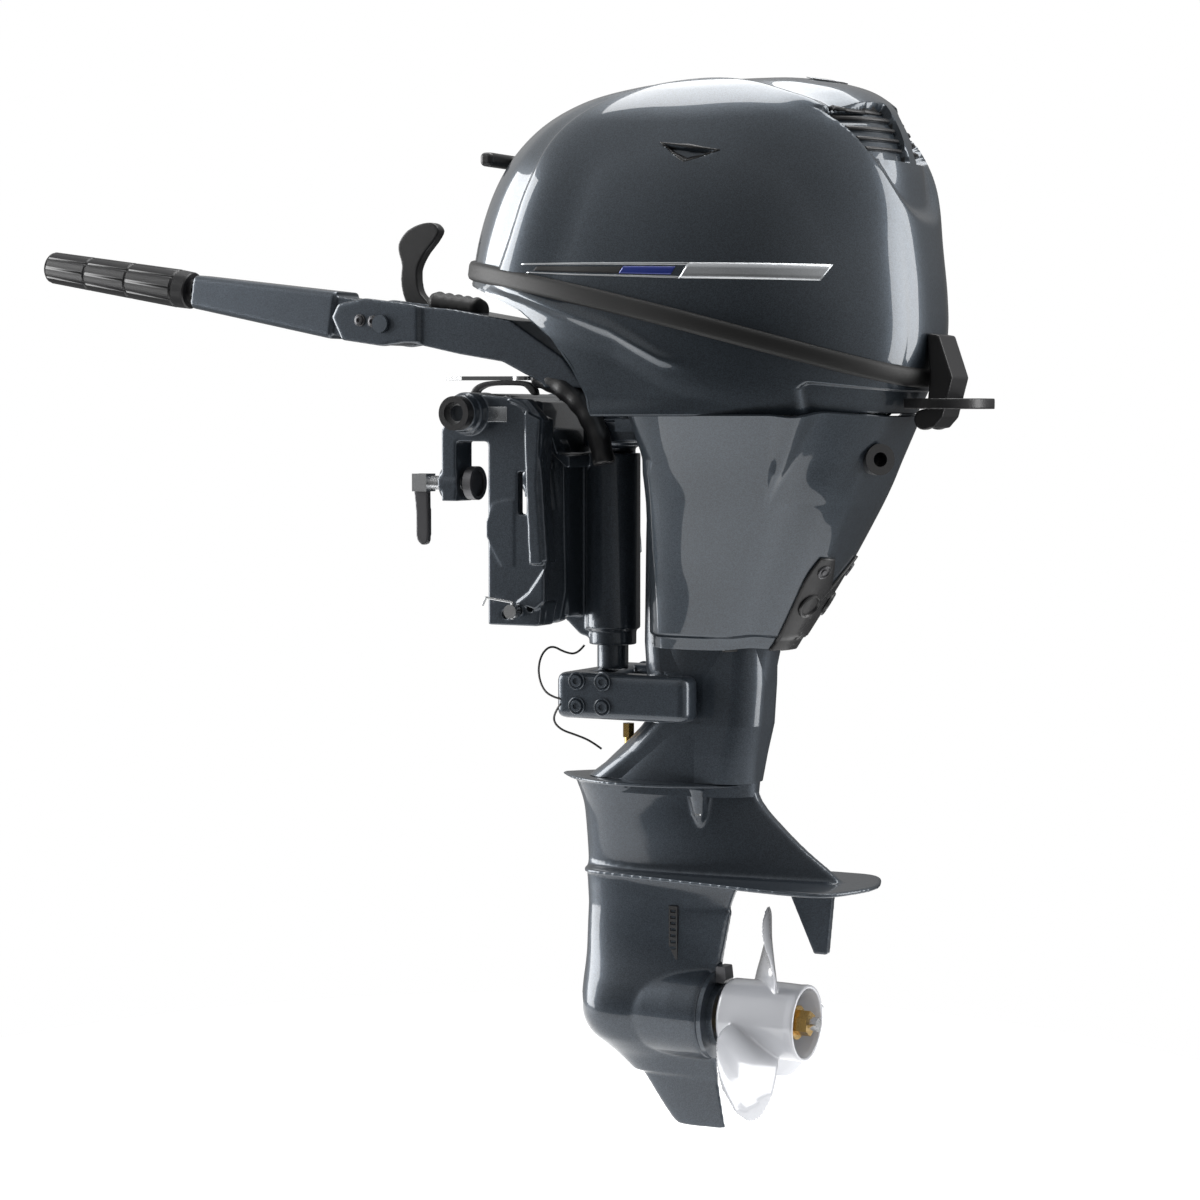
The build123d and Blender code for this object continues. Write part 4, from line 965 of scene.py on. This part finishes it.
# ---- propeller ----
def build_propeller():
    parts = []
    for blade in range(3):
        stations, steps, rings = 26, 28, []
        for i in range(stations):
            f = i / (stations - 1)
            radius = 33 + (116.6 - 33) * f
            chord = 98 * (1 - f ** 7) ** 0.5 * (0.54 + 0.86 * f - 0.46 * f * f) + 3.0
            pitch = math.radians(np.interp(radius, [33, 45, 60, 77, 90, 105, 117],
                                           [47, 41, 34, 28, 22, 17.5, 16]))
            rake = 262 + 8 * f
            thick = 8.0 * (1 - f) + 1.3
            sweep = math.radians(9) * f * f
            ring = []
            for k in range(2 * steps):
                a = 2 * math.pi * k / (2 * steps)
                along = math.cos(a) * chord / 2
                over = math.sin(a) * thick / 2
                cup = 2.5 * (along / (chord / 2 + 0.1)) ** 2
                x = rake + along * math.sin(pitch) + (over - cup) * math.cos(pitch)
                s = along * math.cos(pitch) - (over - cup) * math.sin(pitch)
                angle = -s / radius - sweep + 2 * math.pi * blade / 3
                ring.append((x, radius * math.sin(angle), -575 + radius * math.cos(angle)))
            rings.append(ring)
        parts.append(skin_rings("blade", rings))
    profile = [(0, 33), (0, 36.2), (3, 38), (30, 38.3), (62, 38.0), (74, 37.6), (81, 38.2), (84, 37.6),
               (84, 34.6), (78, 33.6), (40, 32.6), (10, 32)]
    parts.append(turned_ring("barrel", profile, (222, 0, -575), 72))
    core = [(0, 17), (0, 19), (2, 20.2), (50, 20.2), (62, 18.8), (64, 17.6), (64, 17)]
    parts.append(turned_ring("core", core, (226, 0, -575), 56))
    for spoke in range(3):
        turn = math.radians(30 + 120 * spoke)
        web = rounded_box("web", (0, 0, 0), (50, 6.4, 17), 2, [])
        web.data.transform(Matrix.Translation((0.255, 0, 0)) @ Matrix.Translation((0, 0, -0.575))
                           @ Matrix.Rotation(-turn, 4, "X") @ Matrix.Translation((0, 0, 0.0262)))
        parts.append(web)
    whole = join("propeller_casting", *parts)
    melt(whole, 1.05, 4, 0.35)
    refinish(whole, WHITE)
    return place(whole, "propeller_shaft", "pearl_white", "propeller")


build_propeller()


# ---- castings that keep the CAD's form, with moulded corners ----
def tube(name, points, radius, materials, segments=28, per=8):
    """Round tube that follows a smooth line, closed at both ends."""
    line = [Vector(r) for r in smooth_rows(points, np.linspace(0, len(points) - 1,
                                                               per * (len(points) - 1) + 1))]
    rings = []
    for k, centre in enumerate(line):
        ahead = (line[min(k + 1, len(line) - 1)] - line[max(k - 1, 0)]).normalized()
        side = ahead.cross(Vector((0, 1, 0))).normalized()
        other = ahead.cross(side)
        size = radius(k / (len(line) - 1)) if callable(radius) else radius
        rings.append([centre + (side * math.cos(a) + other * math.sin(a)) * size
                      for a in np.linspace(0, 2 * math.pi, segments, endpoint=False)])
    obj = skin_rings(name, rings)
    for finish in materials:
        obj.data.materials.append(finish)
    return obj


def bracket_details(node):
    """Cast rib, lug, gusset and tilt tube boss that stand on a clamp bracket's outer face."""
    if not node.startswith("clamp_bracket"):
        return ()
    side = PORT if node.endswith("port") else STARBOARD
    face = side * 101.4
    low, high = sorted((side * 92, side * 101.6))
    lug = prism("lug", [(22, -58), (6, -62), (-2, -80), (-2, -95), (16, -124), (30, -124), (30, -58)], low,
                high)
    gusset_low, gusset_high = sorted((side * 99, side * 105))
    gusset = prism("gusset", [(34, -160), (48, -150), (66, -126), (66, -158), (56, -166)], gusset_low,
                   gusset_high)
    rib_line = [(26, 42), (44, 33), (55, 8), (60, -30), (63, -75), (66, -118)]
    rib = tube("rib", [(x, face, z) for x, z in rib_line], 2.8, [], segments=14, per=6)
    boss_profile = [(0, 16), (0, 19), (26, 18.6), (29, 17.4), (29, 12)]
    boss = turned("tilt_boss", boss_profile, (-20, side * 94, 28), (0, side, 0), 40)
    return lug, gusset, boss, rib


for node, voxel, rounds, keep in (
        ("clamp_bracket_port", 1.3, 4, 0.4), ("clamp_bracket_starboard", 1.3, 4, 0.4),
        ("swivel_bracket", 1.5, 5, 0.4),
        ("steering_bracket", 1.4, 16, 0.4), ("tiller_arm", 1.3, 9, 0.4),
        ("trim_tab", 0.9, 3, 0.5), ("cowl_latch", 0.8, 16, 0.4)):
    slot_name = SLOT_OF[node]
    copy = cast_copy(node, node + "_cast", voxel, rounds, BY_SLOT[slot_name], keep, extra=bracket_details(node))
    place(copy, BODY_OF[node], slot_name, node)


# ---- shift lever with its paddle top ----
lever_side = curved([(-153, 132), (-142, 126), (-133, 132), (-138, 144), (-148, 156), (-151, 172), (-149, 183),
                     (-141, 196), (-130, 208),
                     (-124, 219), (-132, 227), (-148, 226), (-164, 219), (-173, 208), (-174, 199), (-170, 184),
                     (-171, 168),
                     (-168, 152), (-162, 141)])
lever = prism("shift_lever_arm", lever_side, 11.5, 24.5)
melt(lever, 0.9, 12, 0.4)
lever.data.materials.append(BLACK)
place(lever, "shift_lever", "black_plastic", "shift_lever")

# ---- rear lifting handle ----
handle_outline = curved([(420, -40), (446, -47), (468, -43), (484, -30), (491, -12), (491, 12), (484, 30),
                         (468, 43), (446, 47), (420, 40)],
                        closed=False)
handle_inside = curved([(420, 28), (448, 34), (464, 30), (474, 20), (478, 8), (478, -8), (474, -20),
                        (464, -30), (448, -34), (420, -28)],
                       closed=False)
handle = prism("rear_handle_loop", handle_outline + handle_inside, 32, 42, axis="Z")
melt(handle, 1.0, 6, 0.4)
handle.data.materials.append(BLACK)
place(handle, "motor", "black_plastic", "rear_handle")

# ---- folding handles of the clamp screws ----
for side, word in ((PORT, "port"), (STARBOARD, "starboard")):
    blade_side = curved([(-86, -34), (-93, -37), (-94.5, -45), (-92, -70), (-91.5, -96), (-87, -104),
                         (-82, -105), (-78, -100),
                         (-77.5, -80), (-78, -50), (-79, -38)])
    blade = prism(word + "_clamp_lever", blade_side, side * 85 - 3.4, side * 85 + 3.4)
    melt(blade, 0.8, 3, 0.5)
    blade.data.materials.append(DARK_STEEL)
    place(blade, word + "_clamp_handle", "black_metal", word + "_clamp_handle")

# ---- boots, bolts and plates ----
boot_rings = []
for k in range(11):
    f = k / 10
    centre = Vector((-104 + 52 * f, -28 + 6 * f, 142 - 8 * f))
    swell = 1 + (0.16 if k % 2 else -0.04)
    boot_rings.append([centre + Vector((0, 15 * swell * math.cos(a), 10.5 * swell * math.sin(a)))
                       for a in np.linspace(0, 2 * math.pi, 40, endpoint=False)])
boot = skin_rings("control_boot", boot_rings)
boot.data.materials.append(RUBBER)
place(boot, "motor", "rubber")

for index, (x, z) in enumerate(((-176, 124), (-160, 122.5))):
    screw = lathe(f"housing_bolt_{index + 1}", [(0, 6.2), (0.8, 6.2), (1.2, 5.6), (1.0, 4.6), (2.6, 4.4),
                                                (3.0, 3.8), (3.0, 2.2), (1.6, 1.9), (1.5, 0.3)],
                  (x, -60.4, z), (0, -1, 0), [DARK_STEEL], segments=36)
    place(screw, "motor", "steel")

mount_blocks = [rounded_box("mount_block", (134, side * 58, -253), (146, 30, 46), 8, [])
                for side in (PORT, STARBOARD)]
mount_blocks.append(rounded_box("mount_block", (76, 0, -253), (30, 126, 46), 8, []))
mount = join("mount_cover", *mount_blocks)
melt(mount, 1.2, 6, 0.4)
mount.data.materials.clear()
mount.data.materials.append(CAST_PAINT)
place(mount, "motor", "painted_casting", "lower_mount_cover")

mount_heads = []
for index, (x, z) in enumerate(((86, -238), (115, -238), (86, -263), (115, -263))):
    for side, word in ((PORT, "port"), (STARBOARD, "starboard")):
        screw = lathe(f"{word}_mount_bolt_{index + 1}",
                      [(0, 9.0), (1.4, 9.0), (2.0, 8.4), (1.2, 7.4), (0.6, 6.4), (2.6, 6.0), (3.2, 5.4),
                       (3.2, 3.2), (1.8, 3.0), (1.7, 0.3)],
                      (x, side * 73.2, z), (0, side, 0), [CAST_PAINT], segments=44)
        mount_heads.append(screw)
place(join("mount_bolt_heads", *mount_heads), "motor", SLOT_OF["mount_bolts"], "mount_bolts")

strap = prism("tilt_strap", curved([(-62, 45), (-54, 56), (-36, 61), (0, 61), (14, 56), (18, 47), (12, 47),
                                    (6, 53), (-2, 56), (-34, 56),
                                    (-48, 52), (-54, 45)]), -34, -26)
melt(strap, 0.9, 4, 0.5)
strap.data.materials.append(BLACK)
place(strap, "swivel_bracket", "black_plastic")

label = rounded_box("blank_bracket_label", (10, -101.3, 27), (25, 0.8, 15), 0.35, [PLATE])
place(label, "clamp_bracket", "steel")

duct = tube("cable_duct", [(26, -40, 66), (54, -46, 56), (80, -50, 36), (98, -52, 8), (106, -53, -22)],
            lambda f: 12.5 - 1.5 * f + 0.5 * math.cos(40 * f), [BLACK])
place(duct, "motor", "black_plastic")


# ---- ribbed throttle grip ----
def build_grip():
    rise = math.radians(8.8)
    axis = Vector((-math.cos(rise), 0, math.sin(rise)))
    start = Vector((-150, -28, 120))
    side = Vector((0, 1, 0))
    up = axis.cross(side).normalized()
    rings, segments = [], 180
    stations = [(256, 10, 0), (256, 13.6, 0), (262, 13.4, 0), (263, 18.6, 0), (264.2, 19.8, 0), (278, 20.4, 0),
                (279.2, 19.2, 0)]
    for first, last in ((281, 340.5), (343, 397), (399.5, 452)):
        radius_first, radius_last = 20.6 - 0.019 * (first - 281), 20.6 - 0.019 * (last - 281)
        stations += [(first - 0.6, radius_first - 1.3, 0), (first + 0.8, radius_first, 1),
                     (last - 0.8, radius_last, 1),
                     (last + 0.6, radius_last - 1.3, 0)]
    stations += [(453.5, 16.6, 0), (455.2, 15.0, 0), (456, 12.5, 0), (456.2, 5, 0)]
    for d, r, ribs in stations:
        ring = []
        for k in range(segments):
            a = 2 * math.pi * k / segments
            grooved = r - (0.9 * (0.5 + 0.5 * math.cos(10 * a)) ** 14 if ribs else 0)
            ring.append(start + axis * d + (side * math.cos(a) + up * math.sin(a)) * grooved)
        rings.append(ring)
    obj = skin_rings("throttle_grip_rubber", rings)
    obj.data.materials.append(GRIP_RUBBER)
    crease_shading(obj, 34)
    return place(obj, "throttle_grip", "rubber", "throttle_grip")


build_grip()


# ---- earth leads ----
STEERING_LEAD = [(66, -20, -206.5), (60, -24, -216), (50, -32, -214), (40, -42, -206), (34, -52, -214),
                 (34, -60, -230), (42, -67, -246), (54, -71, -255), (67, -72.4, -257)]
CASE_LEAD = [(67, -72.4, -262), (58, -68, -271), (52, -60, -282), (56, -50, -291), (68, -42, -296),
             (82, -36, -302), (92, -32, -310)]


def route_curve(name, points, radius):
    curve = bpy.data.curves.new(name, "CURVE")
    curve.dimensions = "3D"
    spline = curve.splines.new("NURBS")
    spline.points.add(len(points) - 1)
    for target, point in zip(spline.points, points):
        target.co = (*[c * MM for c in point], 1)
    spline.order_u = 3
    spline.use_endpoint_u = True
    spline.resolution_u = 12
    curve.bevel_depth = radius * MM
    curve.bevel_resolution = 5
    curve.use_fill_caps = True
    obj = bpy.data.objects.new(name, curve)
    bpy.context.scene.collection.objects.link(obj)
    return obj


def nurbs_line(points):
    """Points along the route's own NURBS line."""
    bare = route_curve("bare_route", points, 0)
    mesh = bpy.data.meshes.new_from_object(bare.evaluated_get(bpy.context.evaluated_depsgraph_get()))
    line = [v.co.copy() for v in mesh.vertices]
    bpy.data.objects.remove(bare)
    return line


case_line = nurbs_line(CASE_LEAD)
case_lead = route_curve("case_earth_lead", CASE_LEAD, 1.1)
case_lead.data.materials.append(WIRE)
place(case_lead, "motor", "wire", "case_ground_lead")

steering_line = nurbs_line(STEERING_LEAD)
round_tube = route_curve("steering_tube_temp", STEERING_LEAD, 1.1)
tube_mesh = bpy.data.meshes.new_from_object(round_tube.evaluated_get(bpy.context.evaluated_depsgraph_get()))
bpy.data.objects.remove(round_tube)
steering_lead = bpy.data.objects.new("steering_earth_lead", tube_mesh)
bpy.context.scene.collection.objects.link(steering_lead)
tube_mesh.materials.clear()
tube_mesh.materials.append(WIRE)
all_smooth(steering_lead)
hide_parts("steering_ground_lead")
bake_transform(steering_lead)

# ---- room, lights and camera ----
FLOOR_RADIUS, FLOOR_HEIGHT, FLOOR_GLOW = 0.95, -0.76, 0.75
CAMERA_PLACE, CAMERA_AIM = (1.4788, -2.6437, 0.0263), (0.0592, 0.0262, -0.1636)
LENS_MM, SENSOR_MM = 88.37, 36
floor_material = material("studio_floor", (0.55, 0.55, 0.55), 0, 0.7, variation=0.01, grain=0.02,
                          grain_scale=60)
floor_shader = floor_material.node_tree.nodes["Principled BSDF"]
floor_shader.inputs["Emission Color"].default_value = (1, 1, 1, 1)
floor_shader.inputs["Emission Strength"].default_value = FLOOR_GLOW
bm = bmesh.new()
bmesh.ops.create_circle(bm, cap_ends=True, segments=96, radius=FLOOR_RADIUS)
floor_mesh = bpy.data.meshes.new("studio_floor")
bm.to_mesh(floor_mesh)
bm.free()
floor = bpy.data.objects.new("studio_floor", floor_mesh)
bpy.context.scene.collection.objects.link(floor)
floor.location = (0, 0, FLOOR_HEIGHT)
floor_mesh.materials.append(floor_material)

world = bpy.data.worlds.new("studio")
bpy.context.scene.world = world
world.use_nodes = True
back = world.node_tree.nodes["Background"]
back.inputs["Color"].default_value = (1, 1, 1, 1)


def world_node(kind, **settings):
    made = world.node_tree.nodes.new(kind)
    for key, value in settings.items():
        setattr(made, key, value)
    return made


def world_link(source, target):
    world.node_tree.links.new(source, target)


# dim room, brighter overhead and fore and aft of the motor, in front of a white wall
facing = world_node("ShaderNodeTexCoord")
split = world_node("ShaderNodeSeparateXYZ")
world_link(facing.outputs["Generated"], split.inputs["Vector"])
ends = world_node("ShaderNodeMath", operation="MULTIPLY")
world_link(split.outputs["X"], ends.inputs[0])
world_link(split.outputs["X"], ends.inputs[1])
overhead = world_node("ShaderNodeMapRange", interpolation_type="SMOOTHSTEP")
overhead.inputs["From Min"].default_value, overhead.inputs["From Max"].default_value = -0.15, 0.9
overhead.inputs["To Min"].default_value, overhead.inputs["To Max"].default_value = 0.07, 0.50
world_link(split.outputs["Z"], overhead.inputs["Value"])
room = world_node("ShaderNodeMath", operation="MULTIPLY_ADD")
room.inputs[1].default_value = 0.42
world_link(ends.outputs["Value"], room.inputs[0])
world_link(overhead.outputs["Result"], room.inputs[2])
paths = world_node("ShaderNodeLightPath")
level = world_node("ShaderNodeMix", data_type="FLOAT")
level.inputs["B"].default_value = 1.0
world_link(paths.outputs["Is Camera Ray"], level.inputs["Factor"])
world_link(room.outputs["Value"], level.inputs["A"])
world_link(level.outputs["Result"], back.inputs["Strength"])


def softbox(name, location, target, size, power):
    light = bpy.data.lights.new(name, "AREA")
    light.shape = "RECTANGLE"
    light.size, light.size_y = size
    light.energy = power
    obj = bpy.data.objects.new(name, light)
    obj.location = location
    obj.rotation_mode = "QUATERNION"
    obj.rotation_quaternion = (Vector(target) - Vector(location)).to_track_quat("-Z", "Y")
    bpy.context.scene.collection.objects.link(obj)
    return obj


softbox("front_wall", (-2.4, -0.7, 0.35), (0.1, 0, -0.1), (1.6, 2.6), 105)
softbox("top_panel", (0.2, 0.5, 2.3), (0.15, 0, 0), (2.6, 1.6), 70)
softbox("rear_wall", (2.6, 0.9, 0.3), (0.2, 0, -0.1), (1.3, 2.4), 52)

camera_data = bpy.data.cameras.new("camera")
camera_data.lens = LENS_MM
camera_data.sensor_width = SENSOR_MM
camera = bpy.data.objects.new("camera", camera_data)
bpy.context.scene.collection.objects.link(camera)
camera.location = CAMERA_PLACE
camera.rotation_mode = "QUATERNION"
camera.rotation_quaternion = (Vector(CAMERA_AIM) - camera.location).to_track_quat("-Z", "Y")
bpy.context.scene.camera = camera
bpy.context.scene.view_settings.view_transform = "Standard"
